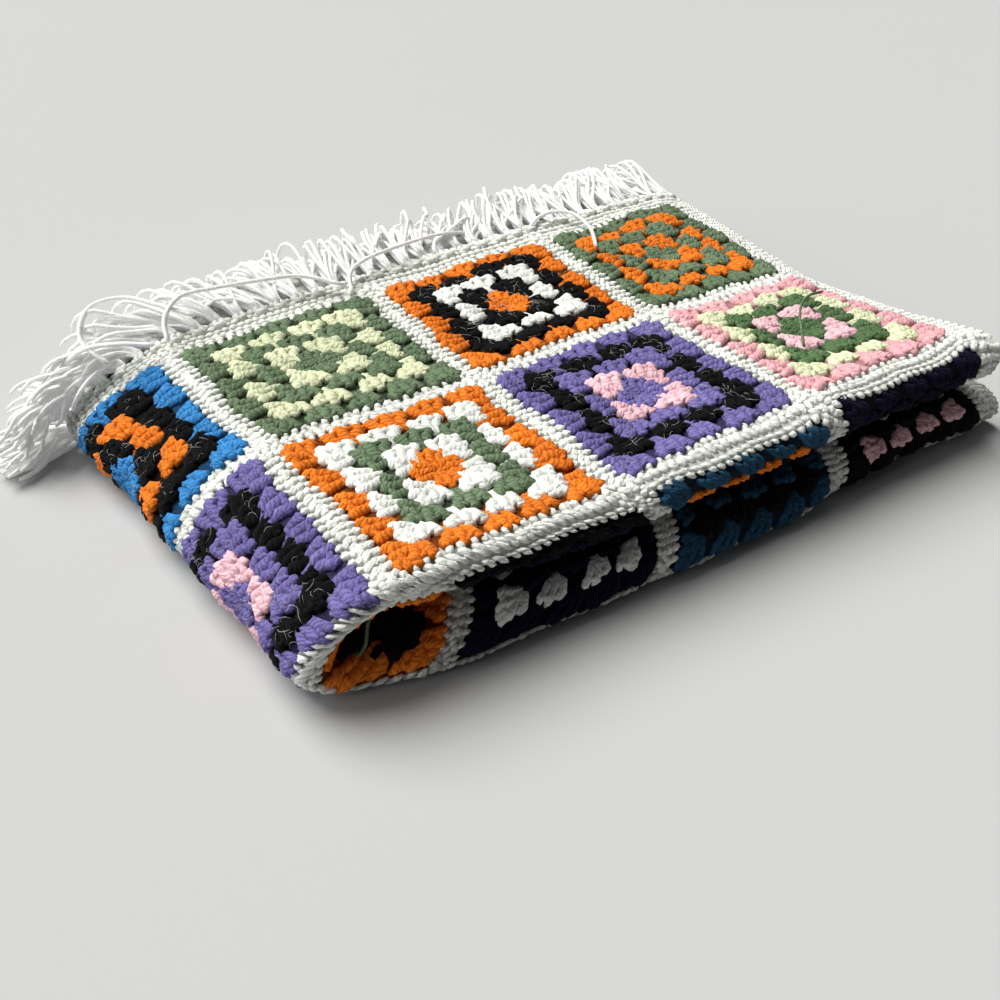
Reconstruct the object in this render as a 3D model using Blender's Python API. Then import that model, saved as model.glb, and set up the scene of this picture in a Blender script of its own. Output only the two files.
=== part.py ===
"""Granny square blanket with a fringe, folded into a low stack.

Metres, +Z up. The blanket lies on the plane z = 0 and its long side runs along X. The origin is the
middle of the flat underside. The front, at -Y, shows the fold; the fringed edges lie at the back.

The cloth is one sheet. Any point of it is given by two distances on the flat cloth: `along`, which runs
across the columns of squares, and `down`, which runs from one fringed edge to the other. First the cloth
is folded back and forth over its length (`section_at`), then the four layers together are folded in half
round the left end (`cloth_point`). Both folds are worked out for whole arrays of points at once.
"""

import itertools
import math

import bmesh
import bpy
import numpy as np
from mathutils import Vector

# Driving dimensions -------------------------------------------------------------------------------

SQUARE_PITCH = 0.150        # one square of five rounds and its share of the joining band
JOIN_BAND = 0.024           # white band between two squares
SIDE_BORDER = 0.037         # plain border down each side of the blanket
COLUMNS = 7
ROWS = 8
CLOTH_THICK = 0.0050
STACK_HEIGHT = 0.074        # all eight layers, at the top's usual level

FLAT_WIDTH = COLUMNS * SQUARE_PITCH + 2 * SIDE_BORDER
FLAT_LENGTH = ROWS * SQUARE_PITCH + 2 * JOIN_BAND
END_JOINT = SIDE_BORDER + (COLUMNS + 1) // 2 * SQUARE_PITCH

# Where the stack sits: the joint between the end column and the next is at x = JOINT_X on top.
JOINT_X = -0.210
FRONT_Y = -0.150            # joint between the second and third rows of squares, at the front edge
HALF = STACK_HEIGHT / 2

# Heights of the four layers of one half above the middle of the stack, on their centre lines.
LAYER_HEIGHTS = {"outer": HALF - CLOTH_THICK / 2, "second": 0.0252, "third": 0.0159, "inner": 0.0066}

# The folds across the length, in the order the cloth meets them. `tip` is how far the fold's centre
# line reaches, measured back from FRONT_Y; `depth` is how far back from its tip the turn starts, and
# `lean` is how much further back it ends than it starts. `faces` is -1 for a fold at the front.
FOLDS = (
    {"name": "front", "before": "outer", "after": "inner", "tip": -0.008, "depth": 0.016,
     "lean": 0.034, "faces": -1, "steps": 8},
    {"name": "back", "before": "inner", "after": "third", "tip": 0.286, "depth": 0.0052,
     "lean": 0.0, "faces": 1, "steps": 5},
    {"name": "inside front", "before": "third", "after": "second", "tip": 0.034, "depth": 0.0052,
     "lean": -0.003, "faces": -1, "steps": 5},
)
OUTER_EDGE = 0.324          # fringed edge of the outer layer, back from FRONT_Y
SECOND_EDGE = 0.366         # fringed edge of the layer below it, which reaches further back
RUN_STEPS = (5, 4, 4, 5)    # cells along each flat run between the folds

# Outline of the outer layer round the left end, from the joint on top to the joint underneath.
# share: part of the end column passed; near_* and far_* the place at the front and at the back end of
# the fold, x from JOINT_X and height as a share of HALF above the middle; set_back: how far the front
# fold draws back there, as the corner rounds.
END_OUTLINE = (
    # share, near_x, near_height, far_x, far_height, set_back
    (0.00, 0.000, 1.00, 0.000, 0.96, 0.001),
    (0.14, -0.017, 0.78, -0.016, 0.78, 0.003),
    (0.30, -0.034, 0.40, -0.036, 0.48, 0.006),
    (0.44, -0.043, -0.05, -0.056, 0.14, 0.010),
    (0.56, -0.043, -0.48, -0.070, -0.20, 0.014),
    (0.67, -0.032, -0.84, -0.071, -0.66, 0.016),
    (0.79, -0.011, -1.00, -0.056, -0.97, 0.013),
    (0.90, 0.006, -1.00, -0.036, -1.00, 0.008),
    (1.00, 0.018, -1.00, -0.018, -1.00, 0.004),
)
CORNER_DEPTH = 0.140        # the front fold's set-back has died away this far back
CORNER_RUN = 0.090          # and this far along the lower half
END_CELLS = 15              # cells round the end
STRAIGHT_CELLS = 9          # cells along each half beyond it
# Right-hand edge of the cloth from JOINT_X, and how far the border there hangs lower than the stack.
RIGHT_EDGE = (
    # back from FRONT_Y, upper half's edge, lower half's edge, border's drop
    (0.00, 0.482, 0.499, 0.004),
    (0.06, 0.474, 0.491, 0.011),
    (0.15, 0.467, 0.483, 0.015),
    (0.24, 0.469, 0.482, 0.010),
    (0.36, 0.472, 0.480, 0.005),
)
# The front edges of the two halves waver: how far forward of their usual line they lie.
FRONT_EDGE = (
    # x from JOINT_X, upper half, lower half
    (-0.05, 0.000, 0.000),
    (0.06, -0.004, 0.004),
    (0.15, -0.003, 0.005),
    (0.27, 0.000, 0.010),
    (0.34, 0.001, 0.002),
    (0.45, 0.002, 0.004),
)
# How much of the front folds' lean is taken away: the scoop at the left closes towards the right.
CLOSED_FRONT = (
    # x from JOINT_X, share
    (0.01, 0.00),
    (0.06, 0.45),
    (0.13, 0.70),
    (0.25, 0.80),
    (0.36, 0.88),
    (0.48, 0.94),
)
CLOSED_FROM = 0.045         # back from the front, where this begins to fade
CLOSED_RUN = 0.140
CLOSED_LAST = 0.55          # last place down the cloth that it moves
DROP_RUN = 0.045            # width over which the border bends down
RIGHT_STEP = 0.006          # each layer further in ends this much sooner
LIFT_SHARE = 0.125          # the upper half is at its full height after this share of its run
SLOPE_STEP = 0.0006         # distance on the flat cloth over which a slope is taken

# Unevenness of the top: height above the usual level over the joints of the squares.
TOP_X = (-0.02, 0.15, 0.30, 0.47)
TOP_LEVELS = (
    # back from FRONT_Y, then a level for each of TOP_X
    (0.00, (0.000, -0.004, 0.001, 0.003)),
    (0.15, (0.002, -0.001, 0.000, -0.004)),
    (0.31, (-0.008, -0.001, 0.003, 0.002)),
)
LEVEL_FADE = (0.020, 0.066)  # the unevenness grows from nothing to all of it between these heights

# Fringe -------------------------------------------------------------------------------------------

STRAND_WIDTH = 0.0034
STRAND_HEIGHT = 0.0027      # a strand has three sides and lies on the flat one
STRAND_LENGTH = 0.115
STRANDS_PER_EDGE = 74
FIRST_STRAND = {"outer": 0.50, "second": 0.02}  # its place on each edge, in steps between strands
STRIP_DEPTH = 0.005         # the row of knots, as one narrow strip
STRIP_HALF_THICK = 0.0021
PART_GAP = 0.0003           # between the strip and the edge of the cloth
STRAND_STOPS = (0.0, 0.16, 0.36, 0.56, 0.78, 1.0)
ROUTE_STEPS = 50
LEAN_RUN = 0.045            # a strand leaves its knot squarely and reaches its full lean by here

# How the strands lie, by the place of their root across the cloth. share: 0 at the right-hand end of the
# lower half, 1 at that of the upper half. lean: degrees to the right (+) or left (-) of straight back.
STRAND_LEAN = (
    # share, outer edge's lean, second edge's lean
    (0.00, 8, 4),
    (0.30, -4, -3),
    (0.43, -10, -12),
    (0.50, -36, -26),
    (0.56, -34, -24),
    (0.62, -14, -14),
    (0.67, 2, 0),
    (0.74, 18, 12),
    (1.00, 28, 20),
)

# Rise and fall of a strand, by the way its edge faces: 1 up, 0 sideways, -1 down. start and end: degrees
# above the level at its root and as it hangs; straight: length before it starts to drop; drop: length
# over which it turns down; rest: height at which its underside comes to lie.
STRAND_FALL = {
    "outer": (
        # facing, start, end, straight, drop, rest
        (-1.0, -4, -4, 0.010, 0.010, 0.0000),
        (0.0, -2, -60, 0.020, 0.040, 0.0110),
        (1.0, 14, -74, 0.042, 0.040, 0.0300),
    ),
    "second": (
        (-1.0, -20, -30, 0.004, 0.020, 0.0036),
        (0.0, -14, -70, 0.006, 0.020, 0.0080),
        (1.0, -16, -80, 0.004, 0.016, 0.0130),
    ),
}


# Folding the sheet --------------------------------------------------------------------------------

def fold_turn(fold):
    """Centre line of one fold as (back from the front, height) pairs, from one layer to the next."""
    top = LAYER_HEIGHTS[fold["before"]]
    low = LAYER_HEIGHTS[fold["after"]]
    points = []
    for step in range(fold["steps"] + 1):
        turn = math.pi * step / fold["steps"]
        height = (top + low) / 2 + (top - low) / 2 * math.cos(turn)
        bulge = fold["depth"] * (1 - math.sin(turn))
        lean = fold["lean"] * (1 - math.cos(turn)) / 2
        points.append((fold["tip"] - fold["faces"] * bulge + lean, height))
    return points


def section_line():
    """The whole back-and-forth centre line with its cells, from the outer fringed edge to the other."""
    stops = [[(OUTER_EDGE, LAYER_HEIGHTS["outer"])]]
    stops += [fold_turn(fold) for fold in FOLDS]
    stops.append([(SECOND_EDGE, LAYER_HEIGHTS["second"])])
    line = list(stops[0])
    for cells, before, after in zip(RUN_STEPS, stops, stops[1:]):
        start, end = before[-1], after[0]
        for cell in range(1, cells):
            share = cell / cells
            line.append((start[0] + (end[0] - start[0]) * share, start[1] + (end[1] - start[1]) * share))
        line += after
    return np.array(line)


SECTION = section_line()
SECTION_STEPS = np.hypot(*np.diff(SECTION, axis=0).T)
SECTION_AT = np.concatenate([[0.0], np.cumsum(SECTION_STEPS)])
SECTION_DOWN = SECTION_AT * FLAT_LENGTH / SECTION_AT[-1]


def section_at(down):
    """(back from the front, height above the middle) of the folded section at distances down the cloth."""
    return np.interp(down, SECTION_DOWN, SECTION[:, 0]), np.interp(down, SECTION_DOWN, SECTION[:, 1])


def smooth_table(at, stations, values):
    """Values read from a short table along a smooth curve through its rows."""
    stations = np.asarray(stations, float)
    values = np.asarray(values, float)
    slopes = np.gradient(values, stations)
    right = np.clip(np.searchsorted(stations, at), 1, len(stations) - 1)
    left = right - 1
    span = stations[right] - stations[left]
    t = np.clip((at - stations[left]) / span, 0.0, 1.0)
    start, end = values[left], values[right]
    return (
        (2 * t**3 - 3 * t**2 + 1) * start
        + (t**3 - 2 * t**2 + t) * span * slopes[left]
        + (-2 * t**3 + 3 * t**2) * end
        + (t**3 - t**2) * span * slopes[right]
    )


def end_outline(share, back):
    """(x from JOINT_X, height as a share of HALF, set-back) of the outer layer round the left end."""
    table = np.array(END_OUTLINE).T
    near_x, near_height, far_x, far_height, set_back = (
        smooth_table(share, table[0], column) for column in table[1:]
    )
    mix = np.clip(back / OUTER_EDGE, 0.0, 1.0)
    return near_x * (1 - mix) + far_x * mix, near_height * (1 - mix) + far_height * mix, set_back


def top_level(x, back):
    """How far the top lies above its usual level."""
    rows = np.stack([np.interp(x, TOP_X, levels) for _, levels in TOP_LEVELS])
    at = [row[0] for row in TOP_LEVELS]
    low = np.clip(np.searchsorted(at, back) - 1, 0, len(at) - 2)
    starts = np.take(at, low)
    mix = np.clip((back - starts) / (np.take(at, low + 1) - starts), 0.0, 1.0)
    mix = mix * mix * (3 - 2 * mix)
    picked = np.arange(x.size)
    flat = rows.reshape(len(at), -1)
    low = low.ravel()
    level = flat[low, picked] * (1 - mix.ravel()) + flat[low + 1, picked] * mix.ravel()
    return level.reshape(x.shape)


def cloth_point(along, down):
    """Places of the sheet's middle surface for arrays of distances on the flat cloth."""
    along, down = np.broadcast_arrays(np.asarray(along, float), np.asarray(down, float))
    back, height = section_at(down)
    scale = height / LAYER_HEIGHTS["outer"]
    # The end column's width goes round the end; layers further in have less of it to go round.
    middle = END_JOINT - SQUARE_PITCH / 2
    reach = SQUARE_PITCH / 2 * scale
    passed = along - middle
    share = np.clip(0.5 - passed / (2 * reach), 0.0, 1.0)
    end_x, end_height, set_back = end_outline(share, back)
    upper = np.clip((passed - reach) / (FLAT_WIDTH - middle - reach), 0.0, None)
    lower = np.clip((-passed - reach) / (middle - reach), 0.0, None)
    # Beyond the end both halves run straight to the right-hand edge.
    edges = np.array(RIGHT_EDGE).T
    upper_edge, lower_edge, edge_drop = (np.interp(back, edges[0], column) for column in edges[1:])
    ends_sooner = RIGHT_STEP * (1 - scale)
    x = end_x * scale
    x = x + upper * (upper_edge - ends_sooner - x) + lower * (lower_edge - ends_sooner - x)
    lifted = np.clip(upper / LIFT_SHARE, 0.0, 1.0)
    level = np.clip(end_height + lifted * (1 - end_height), -1.0, 1.0)
    z = HALF + level * height
    # The border bends down towards the right-hand edge, and the top rises and falls a little.
    edge = np.where(passed > 0, upper_edge, lower_edge)
    bend = np.clip((x - edge) / DROP_RUN + 1, 0.0, None)
    z = z - bend**1.5 * edge_drop * np.clip((z - CLOTH_THICK) / (STACK_HEIGHT - 2 * CLOTH_THICK), 0.0, 1.0)
    fade = np.clip((z - LEVEL_FADE[0]) / (LEVEL_FADE[1] - LEVEL_FADE[0]), 0.0, 1.0)
    z = z + fade * top_level(x, back)
    # The front corner at the left end is rounded off by drawing the fold back.
    corner = np.clip(1 - back / CORNER_DEPTH, 0.0, 1.0) ** 1.5
    along_run = np.clip(1 - (x - end_x * scale) / CORNER_RUN, 0.0, 1.0) ** 2
    stations = np.array(FRONT_EDGE).T
    upper_forward, lower_forward = (smooth_table(x, stations[0], column) for column in stations[1:])
    rise = np.clip(level * scale, -1.0, 1.0) / 2
    forward = upper_forward * (0.5 + rise) + lower_forward * (0.5 - rise)
    y = back + (set_back * along_run - forward) * corner
    # Towards the right the inner layers come forward under the outer one, so the front stands upright.
    closed = np.array(CLOSED_FRONT).T
    inward = np.clip((1 - scale) / (1 - LAYER_HEIGHTS["inner"] / LAYER_HEIGHTS["outer"]), 0.0, 1.0)
    near = np.clip(1 - (back - CLOSED_FROM) / CLOSED_RUN, 0.0, 1.0) * (down < CLOSED_LAST)
    y = y - smooth_table(x, closed[0], closed[1]) * FOLDS[0]["lean"] * inward * near * near * (3 - 2 * near)
    return np.stack([x + JOINT_X, y + FRONT_Y, z], axis=-1)


def cloth_normal(along, down):
    """Unit normals of the middle surface, pointing to the side that shows on top."""
    span_along = cloth_point(along + SLOPE_STEP, down) - cloth_point(along - SLOPE_STEP, down)
    span_down = cloth_point(along, down - SLOPE_STEP) - cloth_point(along, down + SLOPE_STEP)
    normal = np.cross(span_along, span_down)
    return normal / np.linalg.norm(normal, axis=-1, keepdims=True)


# Meshes -------------------------------------------------------------------------------------------

def clear_scene():
    for thing in list(bpy.data.objects):
        bpy.data.objects.remove(thing, do_unlink=True)


def fabric(name, colour, roughness):
    """A plain dull yarn material."""
    material = bpy.data.materials.new(name)
    material.use_nodes = True
    shader = material.node_tree.nodes["Principled BSDF"]
    shader.inputs["Base Color"].default_value = (*colour, 1.0)
    shader.inputs["Roughness"].default_value = roughness
    shader.inputs["Metallic"].default_value = 0.0
    material.diffuse_color = (*colour, 1.0)
    return material


def add_object(name, mesh_data, material):
    """Closes off a piece: its faces turned to point outwards, cut into triangles and linked."""
    bmesh.ops.recalc_face_normals(mesh_data, faces=mesh_data.faces)
    if mesh_data.calc_volume(signed=True) < 0:
        bmesh.ops.reverse_faces(mesh_data, faces=mesh_data.faces)
    bmesh.ops.triangulate(mesh_data, faces=mesh_data.faces)
    mesh = bpy.data.meshes.new(name)
    mesh_data.to_mesh(mesh)
    mesh_data.free()
    mesh.materials.append(material)
    thing = bpy.data.objects.new(name, mesh)
    bpy.context.scene.collection.objects.link(thing)
    return thing


def cells_along():
    """Distances across the columns at which the sheet's cells start, closer together round the end."""
    low = np.linspace(0.0, END_JOINT - SQUARE_PITCH, STRAIGHT_CELLS + 1)
    end = np.linspace(END_JOINT - SQUARE_PITCH, END_JOINT, END_CELLS + 1)
    top = np.linspace(END_JOINT, FLAT_WIDTH, STRAIGHT_CELLS + 1)
    return np.concatenate([low[:-1], end, top[1:]])


def make_cloth():
    """The sheet as one closed solid: its middle surface moved half a thickness to either side."""
    along, down = np.meshgrid(cells_along(), SECTION_DOWN, indexing="ij")
    middle = cloth_point(along, down)
    normal = cloth_normal(along, down)
    sides = [middle + normal * CLOTH_THICK / 2, middle - normal * CLOTH_THICK / 2]
    data = bmesh.new()
    rows, columns = along.shape
    verts = [[[data.verts.new(point) for point in row] for row in side] for side in sides]
    for i in range(rows - 1):
        for j in range(columns - 1):
            face = [verts[0][i][j], verts[0][i][j + 1], verts[0][i + 1][j + 1], verts[0][i + 1][j]]
            data.faces.new(face)
            other = [verts[1][i][j], verts[1][i + 1][j], verts[1][i + 1][j + 1], verts[1][i][j + 1]]
            data.faces.new(other)
    rim = [(i, 0) for i in range(rows)] + [(rows - 1, j) for j in range(1, columns)]
    rim += [(i, columns - 1) for i in range(rows - 2, -1, -1)] + [(0, j) for j in range(columns - 2, 0, -1)]
    for (i, j), (k, m) in zip(rim, rim[1:] + rim[:1]):
        data.faces.new([verts[0][i][j], verts[0][k][m], verts[1][k][m], verts[1][i][j]])
    return add_object("blanket_cloth", data, fabric("joined_squares", (0.80, 0.78, 0.72), 0.95))


def strand_route(start, lean, facing, layer):
    """Underside middle line of one strand, from its root to its tip."""
    table = np.array(STRAND_FALL[layer]).T
    pitch_start, pitch_end, straight, drop, rest = (np.interp(facing, table[0], row) for row in table[1:])
    length = STRAND_LENGTH / ROUTE_STEPS
    place = Vector(start)
    route = [place.copy()]
    for piece in range(ROUTE_STEPS):
        gone = length * (piece + 0.5)
        turned = min(max((gone - straight) / drop, 0.0), 1.0)
        pitch = math.radians(pitch_start + (pitch_end - pitch_start) * turned)
        sink = max(length * math.sin(pitch), min(rest - place.z, 0.0))
        aside = math.radians(lean) * min(gone / LEAN_RUN, 1.0)
        heading = Vector((math.sin(aside), math.cos(aside), 0.0))
        place = place + heading * math.sqrt(length**2 - sink**2) + Vector((0.0, 0.0, sink))
        route.append(place.copy())
    return [route[round(ROUTE_STEPS * stop)] for stop in STRAND_STOPS]


def corners_in_order(corners, ring):
    """The same three corners, each put opposite the one it follows on from in the ring before."""
    orders = list(itertools.permutations(corners))
    apart = [sum((a.co - b).length for a, b in zip(ring, order)) for order in orders]
    return orders[apart.index(min(apart))]


def add_strand(data, root, route):
    """A three-sided strand that grows out of the root triangle, flat side down."""
    ring = root
    for index, place in enumerate(route[1:], start=1):
        after = route[min(index + 1, len(route) - 1)]
        forward = (after - route[index - 1]).normalized()
        side = forward.cross(Vector((0.0, 0.0, 1.0))).normalized()
        up = side.cross(forward).normalized()
        corners = [place - side * STRAND_WIDTH / 2, place + side * STRAND_WIDTH / 2]
        corners.append(place + up * STRAND_HEIGHT)
        new_ring = [data.verts.new(corner) for corner in corners_in_order(corners, ring)]
        for one in range(3):
            two = (one + 1) % 3
            data.faces.new([ring[one], ring[two], new_ring[two], new_ring[one]])
        ring = new_ring
    data.faces.new(ring)


def edge_frame(along, edge_down, inward):
    """Place, normal and outward direction on a fringed edge."""
    place = Vector(cloth_point(along, edge_down))
    normal = Vector(cloth_normal(along, edge_down + inward))
    outward = (place - Vector(cloth_point(along, edge_down + inward))).normalized()
    return place, normal, outward


def add_root(data, before, ring, centre, frame, layer):
    """The stretch of strip that one strand leaves: two wedges beside a root triangle, base down."""
    place, normal, outward = frame
    high = 1 if normal.z > 0 else -1
    facing = normal.z if layer == "outer" else -normal.z
    tip = data.verts.new(
        place + outward * (PART_GAP + STRIP_DEPTH) + normal * high * STRIP_HALF_THICK
    )
    share = centre / FLAT_WIDTH
    table = np.array(STRAND_LEAN).T
    lean = float(np.interp(share, table[0], table[1 if layer == "outer" else 2]))
    # Corners of the strip's cross-section: 0 and 1 at the cloth, 2 and 3 outside.
    data.faces.new([before[0], before[1], ring[1], ring[0]])
    if high > 0:
        data.faces.new([before[1], before[2], tip, ring[2], ring[1]])
        data.faces.new([before[3], before[0], ring[0], ring[3]])
        base = [before[3], ring[3]]
        data.faces.new([before[2], before[3], tip])
        data.faces.new([ring[3], ring[2], tip])
    else:
        data.faces.new([before[3], before[0], ring[0], ring[3], tip][::-1])
        data.faces.new([before[1], before[2], ring[2], ring[1]])
        base = [before[2], ring[2]]
        data.faces.new([before[3], before[2], tip])
        data.faces.new([ring[2], ring[3], tip])
    start = (base[0].co + base[1].co) / 2
    add_strand(data, [base[0], base[1], tip], strand_route(start, lean, facing, layer))


def make_fringe(name, edge_down, layer, material):
    """One fringed edge: a narrow strip just off the cloth's edge, and the strands that leave it."""
    pitch = FLAT_WIDTH / STRANDS_PER_EDGE
    offset = pitch * FIRST_STRAND[layer] + STRAND_WIDTH / 2
    data = bmesh.new()
    before = None
    inward = SLOPE_STEP if layer == "outer" else -SLOPE_STEP
    for strand in range(STRANDS_PER_EDGE):
        centre = strand * pitch + offset
        for side in (-1, 1):
            along = centre + side * STRAND_WIDTH / 2
            place, normal, outward = edge_frame(along, edge_down, inward)
            ring = []
            for out, thick in ((0, -1), (0, 1), (1, 1), (1, -1)):
                shift = outward * (PART_GAP + out * STRIP_DEPTH) + normal * thick * STRIP_HALF_THICK
                ring.append(data.verts.new(place + shift))
            if before and side == -1:
                for one in range(4):
                    two = (one + 1) % 4
                    data.faces.new([before[one], before[two], ring[two], ring[one]])
            elif before:
                add_root(data, before, ring, centre, edge_frame(centre, edge_down, inward), layer)
            else:
                data.faces.new(ring[::-1])
            before = ring
    data.faces.new(before)
    return add_object(name, data, material)


if __name__ == "__main__":
    clear_scene()
    make_cloth()
    WHITE_YARN = fabric("white_yarn", (0.86, 0.85, 0.80), 0.95)
    make_fringe("fringe_outer_edge", 0.0, "outer", WHITE_YARN)
    make_fringe("fringe_second_edge", FLAT_LENGTH, "second", WHITE_YARN)
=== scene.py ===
# %% [markdown]
# # A folded granny square blanket
#
# The blanket is crocheted: small squares are worked in rounds of different colours, joined with bands of
# white single crochet, and fringed on two edges. It lies folded into a low stack. This lesson dresses the
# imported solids: the cloth keeps its folds, and every visible stitch is laid on it as real geometry.

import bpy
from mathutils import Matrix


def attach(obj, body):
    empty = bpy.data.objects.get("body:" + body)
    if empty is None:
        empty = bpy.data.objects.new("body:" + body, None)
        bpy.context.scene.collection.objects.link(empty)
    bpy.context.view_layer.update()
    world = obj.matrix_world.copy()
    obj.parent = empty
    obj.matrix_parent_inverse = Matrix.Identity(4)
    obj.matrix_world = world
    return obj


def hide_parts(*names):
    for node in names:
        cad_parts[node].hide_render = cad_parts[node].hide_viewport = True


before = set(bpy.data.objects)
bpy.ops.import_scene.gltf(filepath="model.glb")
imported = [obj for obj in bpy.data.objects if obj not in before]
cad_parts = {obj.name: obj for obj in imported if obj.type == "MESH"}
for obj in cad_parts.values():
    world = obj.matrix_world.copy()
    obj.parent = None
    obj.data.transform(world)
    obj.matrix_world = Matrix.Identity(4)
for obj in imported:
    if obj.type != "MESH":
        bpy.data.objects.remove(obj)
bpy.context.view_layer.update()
print("solids:", sorted(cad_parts))

# %% Tools, and one seed for every random draw
import math

import bmesh
import bpy
import numpy as np
from mathutils import Matrix, Vector

SEED = 11
rng = np.random.default_rng(SEED)


def about(spread, size=None):
    """Random amounts around zero."""
    return rng.normal(0.0, spread, size)


def among(limits, size=None):
    """Random amounts between two limits."""
    return rng.uniform(*limits, size)


def as_share(value):
    """Values cut off below 0 and above 1."""
    return np.clip(value, 0.0, 1.0)


# %% [markdown]
# ## The flat blanket and how it is folded
#
# A place on the cloth is given by two distances on the flat blanket: `along`, across the columns of
# squares, and `down`, from one fringed edge to the other. The same sizes as the solid's turn them into a
# place in space: first the four layers, back and forth, then the fold round the left end. Because every
# stitch goes through this one mapping, the crochet follows each fold of the cloth.

# %% Sizes of the flat blanket
SQUARE_PITCH = 0.150
JOIN_BAND = 0.024
SIDE_BORDER = 0.037
COLUMNS = 7
ROWS = 8
CLOTH_THICK = 0.0050
STACK_HEIGHT = 0.074
FLAT_WIDTH = COLUMNS * SQUARE_PITCH + 2 * SIDE_BORDER
FLAT_LENGTH = ROWS * SQUARE_PITCH + 2 * JOIN_BAND
END_JOINT = SIDE_BORDER + (COLUMNS + 1) // 2 * SQUARE_PITCH
ROUNDS = 5
SQUARE_SIDE = 0.136
ROUND_DEPTH = SQUARE_SIDE / 2 / ROUNDS
print(f"flat blanket {FLAT_WIDTH:.3f} x {FLAT_LENGTH:.3f} m")

# %% Sizes of the folds
JOINT_X = -0.210
FRONT_Y = -0.150
HALF = STACK_HEIGHT / 2
LAYER_HEIGHTS = {"outer": HALF - CLOTH_THICK / 2, "second": 0.0252, "third": 0.0159, "inner": 0.0066}
FOLDS = (
    {"name": "front", "before": "outer", "after": "inner", "tip": -0.008, "depth": 0.016,
     "lean": 0.034, "faces": -1, "steps": 14},
    {"name": "back", "before": "inner", "after": "third", "tip": 0.286, "depth": 0.0052,
     "lean": 0.0, "faces": 1, "steps": 8},
    {"name": "inside front", "before": "third", "after": "second", "tip": 0.034, "depth": 0.0052,
     "lean": -0.003, "faces": -1, "steps": 8},
)
OUTER_EDGE = 0.324
SECOND_EDGE = 0.366
RUN_STEPS = (26, 16, 16, 22)
END_OUTLINE = (
    # share, near_x, near_height, far_x, far_height, set_back
    (0.00, 0.000, 1.00, 0.000, 0.96, 0.001),
    (0.14, -0.017, 0.78, -0.016, 0.78, 0.003),
    (0.30, -0.034, 0.40, -0.036, 0.48, 0.006),
    (0.44, -0.043, -0.05, -0.056, 0.14, 0.010),
    (0.56, -0.043, -0.48, -0.070, -0.20, 0.014),
    (0.67, -0.032, -0.84, -0.071, -0.66, 0.016),
    (0.79, -0.011, -1.00, -0.056, -0.97, 0.013),
    (0.90, 0.006, -1.00, -0.036, -1.00, 0.008),
    (1.00, 0.018, -1.00, -0.018, -1.00, 0.004),
)
CORNER_DEPTH = 0.140
CORNER_RUN = 0.090
RIGHT_EDGE = (
    # back from FRONT_Y, upper half's edge, lower half's edge, border's drop
    (0.00, 0.482, 0.499, 0.004),
    (0.06, 0.474, 0.491, 0.011),
    (0.15, 0.467, 0.483, 0.015),
    (0.24, 0.469, 0.482, 0.010),
    (0.36, 0.472, 0.480, 0.005),
)
FRONT_EDGE = (
    # x from JOINT_X, upper half, lower half
    (-0.05, 0.000, 0.000),
    (0.06, -0.004, 0.004),
    (0.15, -0.003, 0.005),
    (0.27, 0.000, 0.010),
    (0.34, 0.001, 0.002),
    (0.45, 0.002, 0.004),
)
CLOSED_FRONT = (
    # x from JOINT_X, share of the front folds' lean taken away
    (0.01, 0.00),
    (0.06, 0.45),
    (0.13, 0.70),
    (0.25, 0.80),
    (0.36, 0.88),
    (0.48, 0.94),
)
CLOSED_FROM = 0.045
CLOSED_RUN = 0.140
CLOSED_LAST = 0.55
DROP_RUN = 0.045
RIGHT_STEP = 0.006
LIFT_SHARE = 0.125
ROUNDING = 1.5
TOP_X = (-0.02, 0.15, 0.30, 0.47)
TOP_LEVELS = (
    # back from FRONT_Y, then a level for each of TOP_X
    (0.00, (0.000, -0.004, 0.001, 0.003)),
    (0.15, (0.002, -0.001, 0.000, -0.004)),
    (0.31, (-0.008, -0.001, 0.003, 0.002)),
)
LEVEL_FADE = (0.020, 0.066)
SLOPE_STEP = 0.0006
print("heights of the layers:", list(LAYER_HEIGHTS.values()))


# %% The four layers, back and forth
def fold_turn(fold):
    """Centre line of one fold as (back from the front, height) pairs, from one layer to the next."""
    top = LAYER_HEIGHTS[fold["before"]]
    low = LAYER_HEIGHTS[fold["after"]]
    points = []
    for step in range(fold["steps"] + 1):
        turn = math.pi * step / fold["steps"]
        height = (top + low) / 2 + (top - low) / 2 * math.cos(turn)
        bulge = fold["depth"] * (1 - math.sin(turn))
        lean = fold["lean"] * (1 - math.cos(turn)) / 2
        points.append((fold["tip"] - fold["faces"] * bulge + lean, height))
    return points


def section_line():
    """The whole back-and-forth centre line, from the outer fringed edge to the other one."""
    stops = [[(OUTER_EDGE, LAYER_HEIGHTS["outer"])]]
    stops += [fold_turn(fold) for fold in FOLDS]
    stops.append([(SECOND_EDGE, LAYER_HEIGHTS["second"])])
    line = list(stops[0])
    for cells, before, after in zip(RUN_STEPS, stops, stops[1:]):
        start, end = np.array(before[-1]), np.array(after[0])
        line += [tuple(start + (end - start) * cell / cells) for cell in range(1, cells)]
        line += after
    return np.array(line)


SECTION = section_line()
SECTION_AT = np.concatenate([[0.0], np.cumsum(np.hypot(*np.diff(SECTION, axis=0).T))])
SECTION_DOWN = SECTION_AT * FLAT_LENGTH / SECTION_AT[-1]
print("stations down the cloth:", len(SECTION_DOWN))


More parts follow.
